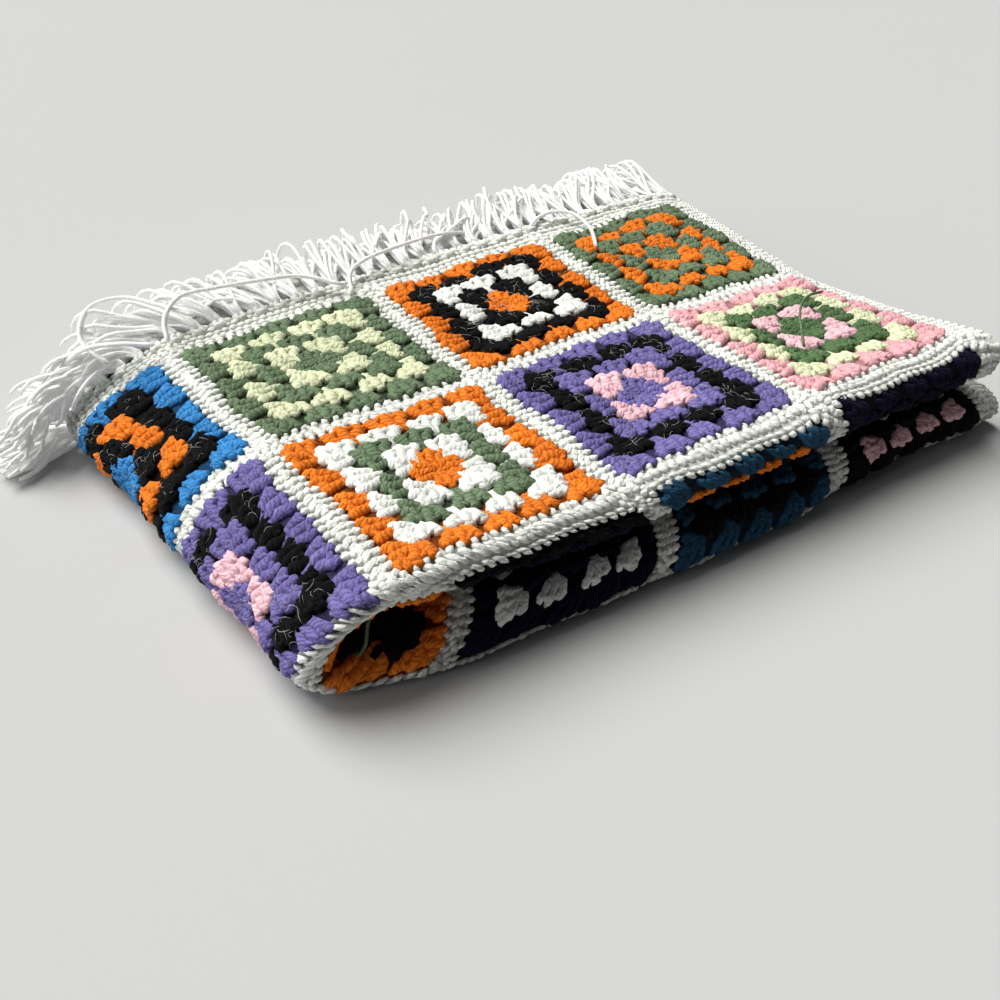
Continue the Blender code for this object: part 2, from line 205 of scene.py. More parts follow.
# %% Reading short tables
def smooth_table(at, stations, values):
    """Values read from a short table along a smooth curve through its rows."""
    stations = np.asarray(stations, float)
    values = np.asarray(values, float)
    slopes = np.gradient(values, stations)
    right = np.clip(np.searchsorted(stations, at), 1, len(stations) - 1)
    left = right - 1
    span = stations[right] - stations[left]
    t = as_share((at - stations[left]) / span)
    start, end = values[left], values[right]
    return (
        (2 * t**3 - 3 * t**2 + 1) * start
        + (t**3 - 2 * t**2 + t) * span * slopes[left]
        + (-2 * t**3 + 3 * t**2) * end
        + (t**3 - t**2) * span * slopes[right]
    )


def read_columns(table, at, read=smooth_table):
    """Every column of a table but the first, read at places between the first column's."""
    first, *others = np.array(table).T
    return [read(at, first, column) for column in others]


def between_rows(stations, rows, at, soft=False):
    """Values at places between stations, each of which has its own row of values."""
    stations = np.array(stations)
    low = np.clip(np.searchsorted(stations, at) - 1, 0, len(stations) - 2)
    mix = as_share((at - stations[low]) / (stations[low + 1] - stations[low]))
    if soft:
        mix = mix * mix * (3 - 2 * mix)
    before = np.take_along_axis(rows, low[None], axis=0)[0]
    after = np.take_along_axis(rows, low[None] + 1, axis=0)[0]
    return before * (1 - mix) + after * mix


print("half way between rows:", float(smooth_table(0.5, (0, 1, 2), (0.0, 1.0, 0.0))))


# %% The folded end, and how level the top lies
def end_outline(share, back):
    """(x from JOINT_X, height as a share of HALF, set-back) of the outer layer round the left end."""
    near_x, near_height, far_x, far_height, set_back = read_columns(END_OUTLINE, share)
    mix = as_share(back / OUTER_EDGE)
    return near_x * (1 - mix) + far_x * mix, near_height * (1 - mix) + far_height * mix, set_back


def top_level(x, back):
    """How far the top lies above its usual level."""
    stations, levels = zip(*TOP_LEVELS)
    rows = np.stack([np.interp(x, TOP_X, level) for level in levels])
    return between_rows(stations, rows, back, soft=True)


print("the top's level at the near right corner:", top_level(np.array(TOP_X[-1:]), np.zeros(1)))


# %% The drooping right edges, and the open front
def drooped(x, z, edge, edge_drop):
    """Heights, with the border at a right-hand edge hanging down."""
    bend = np.clip((x - edge) / DROP_RUN + 1, 0.0, None)
    above = as_share((z - CLOTH_THICK) / (STACK_HEIGHT - 2 * CLOTH_THICK))
    return z - bend**ROUNDING * edge_drop * above


def set_at_front(x, back, down, scale, level, from_end, set_back):
    """Distances back, with the front shaped: round the left corner, out or in, and closed to the right."""
    corner = as_share(1 - back / CORNER_DEPTH) ** ROUNDING
    along_run = as_share(1 - from_end / CORNER_RUN) ** 2
    upper_forward, lower_forward = read_columns(FRONT_EDGE, x)
    rise = np.clip(level * scale, -1.0, 1.0) / 2
    forward = upper_forward * (0.5 + rise) + lower_forward * (0.5 - rise)
    y = back + (set_back * along_run - forward) * corner
    (closed,) = read_columns(CLOSED_FRONT, x)
    inward = as_share((1 - scale) / (1 - LAYER_HEIGHTS["inner"] / LAYER_HEIGHTS["outer"]))
    near = as_share(1 - (back - CLOSED_FROM) / CLOSED_RUN) * (down < CLOSED_LAST)
    return y - closed * FOLDS[0]["lean"] * inward * near * near * (3 - 2 * near)


print("the right edges droop by up to", max(row[-1] for row in RIGHT_EDGE), "m")


# %% Any place of the flat cloth, in space
# share runs round the folded end; upper and lower run from it to the right-hand edges.
def cloth_point(along, down):
    """Places of the sheet's middle surface for arrays of distances on the flat cloth."""
    along, down = np.broadcast_arrays(np.asarray(along, float), np.asarray(down, float))
    back = np.interp(down, SECTION_DOWN, SECTION[:, 0])
    height = np.interp(down, SECTION_DOWN, SECTION[:, 1])
    scale = height / LAYER_HEIGHTS["outer"]
    middle = END_JOINT - SQUARE_PITCH / 2
    reach = SQUARE_PITCH / 2 * scale
    passed = along - middle
    share = as_share(0.5 - passed / (2 * reach))
    end_x, end_height, set_back = end_outline(share, back)
    upper = np.clip((passed - reach) / (FLAT_WIDTH - middle - reach), 0.0, None)
    lower = np.clip((-passed - reach) / (middle - reach), 0.0, None)
    upper_edge, lower_edge, edge_drop = read_columns(RIGHT_EDGE, back, np.interp)
    ends_sooner = RIGHT_STEP * (1 - scale)
    x = end_x * scale
    x = x + upper * (upper_edge - ends_sooner - x) + lower * (lower_edge - ends_sooner - x)
    lifted = as_share(upper / LIFT_SHARE)
    level = np.clip(end_height + lifted * (1 - end_height), -1.0, 1.0)
    z = HALF + level * height
    edge = np.where(passed > 0, upper_edge, lower_edge)
    z = drooped(x, z, edge, edge_drop)
    fade = as_share((z - LEVEL_FADE[0]) / (LEVEL_FADE[1] - LEVEL_FADE[0]))
    z = z + fade * top_level(x, back)
    y = set_at_front(x, back, down, scale, level, x - end_x * scale, set_back)
    return np.stack([x + JOINT_X, y + FRONT_Y, z], axis=-1)


def cloth_normal(along, down):
    """Unit normals of the middle surface, pointing to the side that shows on top."""
    span_along = cloth_point(along + SLOPE_STEP, down) - cloth_point(along - SLOPE_STEP, down)
    span_down = cloth_point(along, down - SLOPE_STEP) - cloth_point(along, down + SLOPE_STEP)
    normal = np.cross(span_along, span_down)
    return normal / np.linalg.norm(normal, axis=-1, keepdims=True)


print("middle of the top edge:", cloth_point(END_JOINT, np.zeros(1)).round(3))

# %% [markdown]
# ## Camera, floor and light
#
# The camera looks down on the near left corner. A far lamp that shines over a wide angle stands for a
# large panel: one is behind and above, so that the top is bright and the folded front falls into shade,
# and a weaker one fills in from the left.

# %% Camera
LENS = 37.94
SENSOR_WIDTH = 36.0
CAMERA_PLACE = (-0.3782, -0.4963, 0.4207)
CAMERA_ROLL = math.radians(0.30)
VIEW_FORWARD = Vector((0.4456, 0.6592, -0.6057)).normalized()
VIEW_UP = Vector((0.3392, 0.5018, 0.7957))

camera_data = bpy.data.cameras.new("camera")
camera_data.lens = LENS
camera_data.sensor_width = SENSOR_WIDTH
camera = bpy.data.objects.new("camera", camera_data)
bpy.context.scene.collection.objects.link(camera)
view_right = VIEW_FORWARD.cross(VIEW_UP).normalized()
view_up = view_right.cross(VIEW_FORWARD)
turn = Matrix((view_right, view_up, -VIEW_FORWARD)).transposed() @ Matrix.Rotation(CAMERA_ROLL, 3, "Z")
camera.matrix_world = Matrix.Translation(CAMERA_PLACE) @ turn.to_4x4()
bpy.context.scene.camera = camera
print("camera lens", camera_data.lens)

# %% Floor
FLOOR_SIZE = 12.0
FLOOR_BELOW = 0.0006
FLOOR_GREY = 0.47
FLOOR_ROUGHNESS = 0.9


def deselect():
    """Leaves nothing selected, in object mode."""
    if bpy.context.mode != "OBJECT":
        bpy.ops.object.mode_set(mode="OBJECT")
    bpy.ops.object.select_all(action="DESELECT")


deselect()
bpy.ops.mesh.primitive_plane_add(size=FLOOR_SIZE, location=(0.0, 0.0, -FLOOR_BELOW))
floor = bpy.context.object
floor.name = "floor"
floor_paint = bpy.data.materials.new("pale_floor")
floor_paint.use_nodes = True
paint = floor_paint.node_tree.nodes["Principled BSDF"]
paint.inputs["Base Color"].default_value = (FLOOR_GREY, FLOOR_GREY, FLOOR_GREY, 1.0)
paint.inputs["Roughness"].default_value = FLOOR_ROUGHNESS
floor.data.materials.append(floor_paint)
print("floor:", FLOOR_SIZE, "m square")

# %% Lights
LIGHTS = (
    # name, shines from, spread in degrees, strength, tint
    ("overhead", (-0.35, 0.80, 1.40), 48.0, 4.7, (1.0, 0.995, 0.965)),
    ("left_fill", (-1.5, 0.4, 0.8), 50.0, 1.0, (0.97, 0.98, 1.0)),
)
WORLD_TINT = (0.92, 0.95, 1.0, 1.0)
WORLD_STRENGTH = 0.04

for light_name, place, spread, strength, tint in LIGHTS:
    data = bpy.data.lights.new(light_name, "SUN")
    data.angle = math.radians(spread)
    data.energy = strength
    data.color = tint
    light = bpy.data.objects.new(light_name, data)
    bpy.context.scene.collection.objects.link(light)
    light.location = place
    light.rotation_euler = (-Vector(place)).to_track_quat("-Z", "Y").to_euler()
world = bpy.data.worlds.new("studio")
bpy.context.scene.world = world
world.use_nodes = True
world.node_tree.nodes["Background"].inputs["Color"].default_value = WORLD_TINT
world.node_tree.nodes["Background"].inputs["Strength"].default_value = WORLD_STRENGTH
bpy.context.scene.view_settings.view_transform = "Standard"
print("lights:", [row[0] for row in LIGHTS])

# %% [markdown]
# ## Yarn materials
#
# All the yarn is the same dull acrylic in different colours. One node group gives every colour its
# fuzz: lighter hairs, whose lightness is a painted sheen, painted shade in the hollows between the
# stitches and in the grooves between the yarn's plies, the plies' relief, and a fine uneven surface. Each
# point of a stitch carries its height above the cloth, which sets its painted shade, the tone of its
# stitch and its distance across the plies. Each material sets its own colours and amount of fuzz.

# %% Helpers for shader nodes
def node(tree, kind, place, inputs=(), **settings):
    """A shader node. inputs: pairs of a socket and its value, or the output that feeds it."""
    made = tree.nodes.new(kind)
    made.location = place
    for name, value in settings.items():
        setattr(made, name, value)
    for socket, value in inputs:
        if isinstance(value, bpy.types.NodeSocket):
            tree.links.new(value, made.inputs[socket])
        else:
            made.inputs[socket].default_value = value
    return made


def reckoned(tree, place, operation, *values):
    """The output of a Math node."""
    return node(tree, "ShaderNodeMath", place, enumerate(values), operation=operation).outputs[0]


def mixed(tree, place, blend, factor, first, second):
    """The output of a colour mix."""
    given = ((0, factor), (6, first), (7, second))
    return node(tree, "ShaderNodeMix", place, given, data_type="RGBA", blend_type=blend).outputs[2]


def remapped(tree, place, value, before, after):
    """A value stretched from one range to another."""
    ends = zip(("From Min", "From Max", "To Min", "To Max"), (*before, *after))
    return node(tree, "ShaderNodeMapRange", place, (("Value", value), *ends)).outputs["Result"]


print("helpers: node, reckoned, mixed, remapped")

# %% The sizes in the yarn
NOISES = {
    # name: scale, detail, roughness
    "fibres": (1500.0, 3.0, 0.7),
    "lumps": (760.0, 2.0, 0.6),
    "patches": (24.0, 2.0, 0.5),
    "stray": (260.0, 1.0, 0.5),
}
PLY_WIDTH = 3.1
PLY_STRAY = 5.0
GROOVE_DEPTH = 0.34
RELIEF_HEIGHT = 0.0010
# painted shade in the ply grooves: how far the colour goes towards the darker hollow colour across a groove
GROOVE_SHADE = ((-1.0, 0.3), (0.5, 0.0))
HAIRS = ((0.52, 0.80), (0.0, 1.0))
TONES = ((0.0, 1.0), (0.84, 1.12))
WEAR = ((0.3, 0.7), (0.94, 1.04))
print("plies", PLY_WIDTH, "mm wide")


# %% The shared yarn group
def new_group(name, sockets_in, sockets_out):
    """An empty node group with its sockets."""
    group = bpy.data.node_groups.new(name, "ShaderNodeTree")
    for label, kind, default in sockets_in:
        socket = group.interface.new_socket(name=label, in_out="INPUT", socket_type=kind)
        socket.default_value = default
    for label, kind in sockets_out:
        group.interface.new_socket(name=label, in_out="OUTPUT", socket_type=kind)
    return group


def build_yarn_group():
    """Colour and relief of crocheted yarn, from each point's height, tone and place across its plies; low
    points and ply grooves get painted shade, the hairs a painted sheen.
    """
    group = new_group(
        "crocheted_yarn",
        (
            ("Colour", "NodeSocketColor", (0.8, 0.8, 0.8, 1.0)),
            ("Hollow Shade", "NodeSocketColor", (0.2, 0.2, 0.2, 1.0)),
            ("Hair Sheen", "NodeSocketColor", (0.9, 0.9, 0.9, 1.0)),
            ("Hair Amount", "NodeSocketFloat", 0.2),
            ("Relief", "NodeSocketFloat", 0.5),
        ),
        (("Colour", "NodeSocketColor"), ("Normal", "NodeSocketVector")),
    )
    given = node(group, "NodeGroupInput", (-1200, 0)).outputs
    spot = node(group, "ShaderNodeTexCoord", (-1200, -400)).outputs["Object"]
    noise = {
        name: node(group, "ShaderNodeTexNoise", (-900, -300 * row), (
            ("Vector", spot), ("Scale", scale), ("Detail", detail), ("Roughness", roughness),
        )).outputs["Fac"]
        for row, (name, (scale, detail, roughness)) in enumerate(NOISES.items(), start=1)
    }
    height, tone, plies = (
        node(group, "ShaderNodeAttribute", (-900, place), attribute_name=name).outputs["Fac"]
        for name, place in (("height", 300), ("tone", 100), ("plies", -1500))
    )
    strayed = reckoned(group, (-700, -1500), "MULTIPLY_ADD", noise["stray"], PLY_STRAY, plies)
    turns = reckoned(group, (-500, -1500), "MULTIPLY", strayed, 2 * math.pi / PLY_WIDTH)
    twist = reckoned(group, (-300, -1500), "SINE", turns)
    # painted shade: the lower a point lies in its stitch, the more it takes of the darker hollow colour
    colour = mixed(group, (-500, 300), "MIX", height, given["Hollow Shade"], given["Colour"])
    # painted shade in the grooves between the plies: there the colour goes towards the hollow colour
    sunk = remapped(group, (-500, -1000), twist, *GROOVE_SHADE)
    colour = mixed(group, (-400, 300), "MIX", sunk, colour, given["Hollow Shade"])
    # the hairs follow the fibre noise; their lighter colour is a painted sheen on the fuzz
    hairs = remapped(group, (-700, -300), noise["fibres"], *HAIRS)
    share = reckoned(group, (-500, -300), "MULTIPLY", hairs, given["Hair Amount"])
    colour = mixed(group, (-250, 200), "MIX", share, colour, given["Hair Sheen"])
    shade = remapped(group, (-250, 0), tone, *TONES)
    patch = remapped(group, (-250, -800), noise["patches"], *WEAR)
    both = reckoned(group, (0, -200), "MULTIPLY", shade, patch)
    colour = mixed(group, (200, 200), "MULTIPLY", 1.0, colour, both)
    grooves = reckoned(group, (-100, -1500), "MULTIPLY", twist, GROOVE_DEPTH)
    rough = reckoned(group, (-250, -500), "ADD", noise["fibres"], noise["lumps"])
    relief = reckoned(group, (0, -600), "ADD", rough, grooves)
    bump = node(group, "ShaderNodeBump", (200, -400), (
        ("Distance", RELIEF_HEIGHT), ("Height", relief), ("Strength", given["Relief"]),
    ))
    node(group, "NodeGroupOutput", (800, 0), (("Colour", colour), ("Normal", bump.outputs["Normal"])))
    return group


YARN_GROUP = build_yarn_group()
print("nodes in the yarn group:", len(YARN_GROUP.nodes))

# %% The colours
def linear(red, green, blue):
    """Screen values from 0 to 255 as the linear values that a shader takes."""
    shares = (value / 255 for value in (red, green, blue))
    return tuple(s / 12.92 if s <= 0.04045 else ((s + 0.055) / 1.055) ** 2.4 for s in shares)


YARNS = {
    # name: screen colour, share of it left in the hollows' painted shade, lightness of the hairs' painted
    # sheen, hair amount
    "white": ((241, 243, 236), 0.78, 1.06, 0.12),
    # painted light: the fringe's white, drawn lighter than the border's white, and glowing
    "glowing white": ((253, 253, 250), 0.70, 1.00, 0.05),
    "black": ((8, 8, 9), 0.40, 5.0, 0.20),
    "orange": ((250, 133, 42), 0.15, 1.25, 0.24),
    "sage": ((112, 132, 102), 0.16, 2.1, 0.38),
    "moss": ((92, 120, 80), 0.16, 2.1, 0.38),
    "cream": ((230, 235, 196), 0.42, 1.08, 0.12),
    "blue": ((64, 142, 208), 0.15, 1.5, 0.26),
    # painted shade: a darker copy of the blue yarn, for the front squares that lie in shade
    "deep_blue": ((38, 78, 106), 0.15, 1.8, 0.24),
    "purple": ((123, 114, 175), 0.15, 1.7, 0.32),
    "pink": ((247, 198, 207), 0.45, 1.08, 0.14),
    "rose": ((248, 186, 192), 0.45, 1.10, 0.14),
    "navy": ((16, 11, 38), 0.35, 3.0, 0.20),
}
YARN_FINISH = {"Roughness": 0.92, "Specular IOR Level": 0.05, "Sheen Weight": 0.03, "Sheen Roughness": 0.6}
# Painted light: the fringe's yarn glows a little, for the light that comes through its strands; its
# subsurface and sheen are the yarn's own finish.
FRINGE_FINISH_AND_GLOW = {
    "Subsurface Weight": 0.6, "Subsurface Scale": 0.004, "Subsurface Radius": (1.0, 1.0, 1.0),
    "Sheen Weight": 0.3, "Emission Color": (1.0, 1.0, 1.0, 1.0), "Emission Strength": 0.08,
}
YARN_RELIEF = 0.6
# painted sheen: a little light added to the colour of every yarn's hairs
HAIR_SHEEN_LIFT = 0.01


def yarn_material(name):
    """A material that gives one yarn's colours to the shared group."""
    screen, hollow, hair_sheen, hair_amount = YARNS[name]
    colour = linear(*screen)
    material = bpy.data.materials.new(f"{name.replace(' ', '_')}_yarn")
    material.use_nodes = True
    tree = material.node_tree
    shader = tree.nodes["Principled BSDF"]
    finish = {**YARN_FINISH, **FRINGE_FINISH_AND_GLOW} if name == "glowing white" else YARN_FINISH
    for label, value in finish.items():
        shader.inputs[label].default_value = value
    yarn = tree.nodes.new("ShaderNodeGroup")
    yarn.node_tree = YARN_GROUP
    yarn.location = (-300, 0)
    yarn.inputs["Colour"].default_value = (*colour, 1.0)
    # painted shade: the hollow colour is the yarn's colour darkened by its share
    yarn.inputs["Hollow Shade"].default_value = (*(value * hollow for value in colour), 1.0)
    # painted sheen: the hairs are the yarn's colour made lighter
    yarn.inputs["Hair Sheen"].default_value = (*(min(value * hair_sheen + HAIR_SHEEN_LIFT, 1.0) for value in colour), 1.0)
    yarn.inputs["Hair Amount"].default_value = hair_amount
    yarn.inputs["Relief"].default_value = YARN_RELIEF
    tree.links.new(yarn.outputs["Colour"], shader.inputs["Base Color"])
    tree.links.new(yarn.outputs["Normal"], shader.inputs["Normal"])
    material.diffuse_color = (*colour, 1.0)
    return material


MATERIALS = {name: yarn_material(name) for name in YARNS}
print("yarns:", ", ".join(MATERIALS))

# %% [markdown]
# ## The pattern of the squares
#
# Each square is worked from the middle outwards in five rounds. A word lists its colours from the
# outside in. Columns are counted along the flat blanket, rows from the nearer fringed edge.

# %% Colours of every square
LETTERS = {
    "w": "white", "k": "black", "o": "orange", "s": "sage", "m": "moss", "c": "cream",
    "b": "blue", "d": "deep_blue", "u": "purple", "p": "pink", "r": "rose", "n": "navy",
}
SQUARES = (
    # column:  1        2        3        4        5        6        7
    ("row 1", "uwuwu", "nknpn", "osock", "bkokb", "scscs", "okwko", "sosos"),
    ("row 2", "bpbwb", "swsos", "pcpkp", "ukupu", "owswo", "ukupu", "rcmpm"),
    ("row 3", "kpkwk", "dkdko", "nwnkn", "okkko", "knknk", "dokdk", "nnknn"),
    ("row 4", "oboko", "cscsc", "kokok", "pupup", "wbwbw", "sosos", "ckckc"),
    ("row 5", "scscs", "ukupu", "bkbkb", "okoko", "nwnwn", "kpkpk", "bobob"),
    ("row 6", "npnpn", "owowo", "cucuc", "sksks", "uouou", "pkpkp", "wkwkw"),
    ("row 7", "kckck", "sbsbs", "okoko", "nonon", "cpcpc", "ukuku", "soskw"),
    ("row 8", "okoko", "pupup", "kwkwk", "bokob", "ucucu", "bkbwb", "nwnwn"),
)


def square_colours(row, column):
    """The five colours of a square, from the outside in."""
    return [LETTERS[letter] for letter in SQUARES[row - 1][column]]


def square_middle(row, column):
    """(along, down) of a square's middle."""
    along = SIDE_BORDER + (column - 0.5) * SQUARE_PITCH
    return along, JOIN_BAND + (row - 0.5) * SQUARE_PITCH


print("squares:", COLUMNS * ROWS)

# %% [markdown]
# ## Modelling the stitches
#
# Every stitch that shows is one of a few shapes, so each is modelled once. A double crochet is a post
# of slanted wraps with a loop on top; three of them in one hole make the fans of a granny square. The
# posts start as cylinders, are cut into rings, and each ring is swelled, pinched and shifted one by one.

# %% Marks for the plies, and rings to shape
MM = 0.001
PLY_SLANT = 0.55
RING_WITHIN = 0.1 * MM


def in_metres(values):
    """Metres from millimetres."""
    return [value * MM for value in values]


def mark_plies(piece, across, along):
    """Gives each point its distance across the yarn, in mm, so that the material can draw its plies."""
    plies = piece.data.attributes.new("plies", "FLOAT", "POINT")
    for vert, item in zip(piece.data.vertices, plies.data):
        item.value = (vert.co[across] + PLY_SLANT * vert.co[along]) / MM


def select_ring(height):
    """In edit mode, selects only the points at one distance along a lying post."""
    data = bmesh.from_edit_mesh(bpy.context.object.data)
    for vert in data.verts:
        vert.select = abs(vert.co.y - height) < RING_WITHIN
    data.select_flush_mode()
    bmesh.update_edit_mesh(bpy.context.object.data)


print("plies slant by", PLY_SLANT)

# %% A post of wraps
POST_SIDES = 6


def post(radius, length, rings):
    """A post along Y, in mm. rings: (share of length, swell, shift across, shift up, slant in degrees)."""
    radius, length = radius * MM, length * MM
    deselect()
    bpy.ops.mesh.primitive_cylinder_add(
        vertices=POST_SIDES, radius=radius, depth=length, end_fill_type="TRIFAN",
        location=(0.0, length / 2, 0.0), rotation=(math.pi / 2, 0.0, 0.0),
    )
    bpy.ops.object.transform_apply(location=True, rotation=True, scale=True)
    bpy.ops.object.mode_set(mode="EDIT")
    for share, *_ in rings:
        if 0.0 < share < 1.0:
            bpy.ops.mesh.select_all(action="SELECT")
            bpy.ops.mesh.bisect(plane_co=(0.0, share * length, 0.0), plane_no=(0.0, 1.0, 0.0))
    for share, swell, across, up, slant in rings:
        select_ring(share * length)
        bpy.ops.transform.resize(value=(swell, 1.0, swell), center_override=(0.0, share * length, 0.0))
        bpy.ops.transform.rotate(
            value=math.radians(slant), orient_axis="Z", center_override=(0.0, share * length, 0.0)
        )
        bpy.ops.transform.translate(value=(across * MM, 0.0, up * MM))
    bpy.ops.object.mode_set(mode="OBJECT")
    mark_plies(bpy.context.object, 1, 0)
    return bpy.context.object


print("a post has", POST_SIDES, "sides")

# %% A loop of yarn, and ways to join and copy
BEAD_SIDES = 6
BEAD_RINGS = 4


def picked(*pieces):
    """Selects some objects and makes the first one active."""
    deselect()
    for piece in pieces:
        piece.select_set(True)
    bpy.context.view_layer.objects.active = pieces[0]


def leaned(degrees, shift):
    """The active object with its mesh turned about its foot and moved, in mm."""
    bpy.ops.object.mode_set(mode="EDIT")
    bpy.ops.mesh.select_all(action="SELECT")
    bpy.ops.transform.rotate(value=math.radians(degrees), orient_axis="Z", center_override=(0.0, 0.0, 0.0))
    bpy.ops.transform.translate(value=in_metres(shift))
    bpy.ops.object.mode_set(mode="OBJECT")
    return bpy.context.object


def bead(size, place, tilt=0.0):
    """An oval loop of yarn, in mm: a ball stretched to size, tilted about Z and put in its place."""
    deselect()
    bpy.ops.mesh.primitive_uv_sphere_add(segments=BEAD_SIDES, ring_count=BEAD_RINGS, radius=0.5)
    bpy.ops.object.mode_set(mode="EDIT")
    bpy.ops.mesh.select_all(action="SELECT")
    bpy.ops.transform.resize(value=in_metres(size))
    bpy.ops.object.mode_set(mode="OBJECT")
    longer = 0 if size[0] > size[1] else 1
    mark_plies(bpy.context.object, 1 - longer, longer)
    return leaned(tilt, place)


def joined(pieces, name):
    """One object out of several."""
    picked(*pieces)
    bpy.ops.object.join()
    bpy.context.object.name = name
    return bpy.context.object


def turned_copy(piece, degrees, shift):
    """A copy leaned over about its foot and moved by a shift in mm."""
    picked(piece)
    bpy.ops.object.duplicate()
    return leaned(degrees, shift)


print("a loop has", BEAD_SIDES, "sides")

# %% One double crochet, and the fan of three
# Its wraps lean left and right by turns. It is thin and low at its foot and swells towards its top.
SPREAD = 22.0
FLATTENED = 0.86
WRAPS = (
    # share, swell, across and up in mm, slant
    (0.00, 0.60, 0.0, 0.0, 0),
    (0.20, 0.78, 0.5, 0.4, 28),
    (0.40, 0.86, -0.3, 0.5, -8),
    (0.58, 1.06, -0.6, 1.1, -32),
    (0.76, 0.98, 0.2, 1.3, 8),
    (0.90, 1.10, 0.6, 1.3, 26),
    (1.00, 0.62, 0.0, 0.6, 0),
)


def double_crochet(length, radius):
    """A post of wraps under the loop that closes its top."""
    body = post(radius, length, WRAPS)
    loop = bead((7.6, 5.4, 6.4), (0.2, length - 1.2, 1.9), 14)
    return joined([body, loop], "double_crochet")


def fan():
    """Three double crochets out of one hole, with the loops that cross between their tops."""
    middle = double_crochet(18.6, 4.3)
    outer = double_crochet(18.2, 4.1)
    left = turned_copy(outer, -SPREAD, (-1.8, 0.0, -0.3))
    right = turned_copy(outer, SPREAD, (1.8, 0.0, -0.3))
    bpy.data.objects.remove(outer, do_unlink=True)
    crossing = [bead((6.6, 3.8, 4.6), (side * 4.2, 15.0, 2.9), side * 40) for side in (-1, 1)]
    whole = joined([middle, left, right] + crossing, "fan")
    whole.scale.z = FLATTENED
    bpy.ops.object.transform_apply(location=False, rotation=False, scale=True)
    return whole


def plain_fan():
    """The same fan in three plain posts, for the underside that lies on the floor."""
    posts = [bead((8.2, 18.0, 7.6), (side * 5.6, 9.6, 1.0), -side * SPREAD) for side in (-1, 0, 1)]
    return joined(posts, "plain_fan")


print("wraps in a post:", len(WRAPS) - 1)

# %% The shapes as arrays, ready to copy
def taken_mesh(piece):
    """The finished shape as arrays, with its object removed: points, sorted triangles, plies."""
    data = bmesh.new()
    data.from_mesh(piece.data)
    bmesh.ops.recalc_face_normals(data, faces=data.faces)
    bmesh.ops.triangulate(data, faces=data.faces)
    plies = data.verts.layers.float["plies"]
    marks = np.array([vert[plies] for vert in data.verts])
    points = np.array([vert.co[:] for vert in data.verts])
    faces = np.array(sorted([vert.index for vert in face.verts] for face in data.faces))
    data.free()
    mesh = piece.data
    bpy.data.objects.remove(piece, do_unlink=True)
    bpy.data.meshes.remove(mesh)
    return points, faces, marks


FAN = taken_mesh(fan())
PLAIN_FAN = taken_mesh(plain_fan())
print("fan:", len(FAN[1]), "triangles, width", round(float(np.ptp(FAN[0][:, 0])) / MM, 1), "mm")

# %% [markdown]
# ## Laying copies on the cloth
#
# A finished stitch lies flat at the middle of the world. To put it on the blanket, its points are turned
# and moved on the flat blanket first, and the mapping then folds them with the cloth. Thousands of
# copies are folded at once and written into one mesh for each yarn. Hand work is never quite even, so
# the squares are shifted a little from their places and every row wavers.

# %% How the work lies on the cloth
WAVER = 0.0016
WAVER_FADE = 0.030
SWAY_WAVES = (47.0, 29.0, 83.0, 31.0)
SWING_WAVES = (53.0, 23.0, 91.0, -37.0)
PUCKER = 0.0012
PUCKER_WAVES = (61.0, 22.0, 57.0, -19.0)
DRAW_IN = 0.0060
DRAW_RUN = 0.060
SHIFT_ALONG = (0.037, 0.280, 0.487, 0.545, 0.595, 0.637, 0.787, 0.937, 1.087)
SHIFTS = (
    # place down the cloth, then the work's shift along and down, in mm, at each of SHIFT_ALONG
    (0.024, (0, 0, -12, -24, -16, -6, 2, 12, 12), (0, 0, -5, -8, -9, -4, 3, 3, -3)),
    (0.174, (0, 0, -3, -5, -3, 0, 4, 11, 9), (0, 0, 0, 2, 6, 9, 7, 4, 3)),
    (0.324, (-18, 0, 0, 0, 2, 5, 5, 8, 7), (0, 0, 1, 3, 16, 10, 5, 2, 1)),
    (0.350, (-18, 0, 0, 0, 2, 4, 4, 10, 20), (6, 6, 4, 4, 14, 8, 4, 2, 1)),
    (0.474, (-18, 0, 0, 0, 0, 0, 0, 10, 20), (3, 3, 3, 3, 3, 0, 0, 0, 0)),
)


def work_shift(along, down):
    """How far the squares sit from their even places, along and down."""
    stations, *ways = zip(*SHIFTS)
    found = []
    for shifts in ways:
        rows = np.stack([np.interp(along, SHIFT_ALONG, shift) for shift in shifts])
        found.append(between_rows(stations, rows, down) * MM)
    return found


def wavering(one, other, waves):
    """An uneven wave from about -1.5 to 1.5."""
    first, bend, second, cross = waves
    wave = np.sin(one * first + 2.0 * np.sin(other * bend))
    return wave + 0.5 * np.sin(other * second + one * cross)


def drawn_in(along):
    """The pull of the edging on the two long sides, from 1 to -1."""
    left = as_share(1 - along / DRAW_RUN)
    right = as_share((along - FLAT_WIDTH) / DRAW_RUN + 1)
    return left**2 - right**2


print("shift of the work at the top's middle:", work_shift(np.array([0.787]), np.array([0.174])))

# %% From the flat blanket to a place in space
FLOOR_CLEARANCE = 0.0003
PRESSED = 0.0012


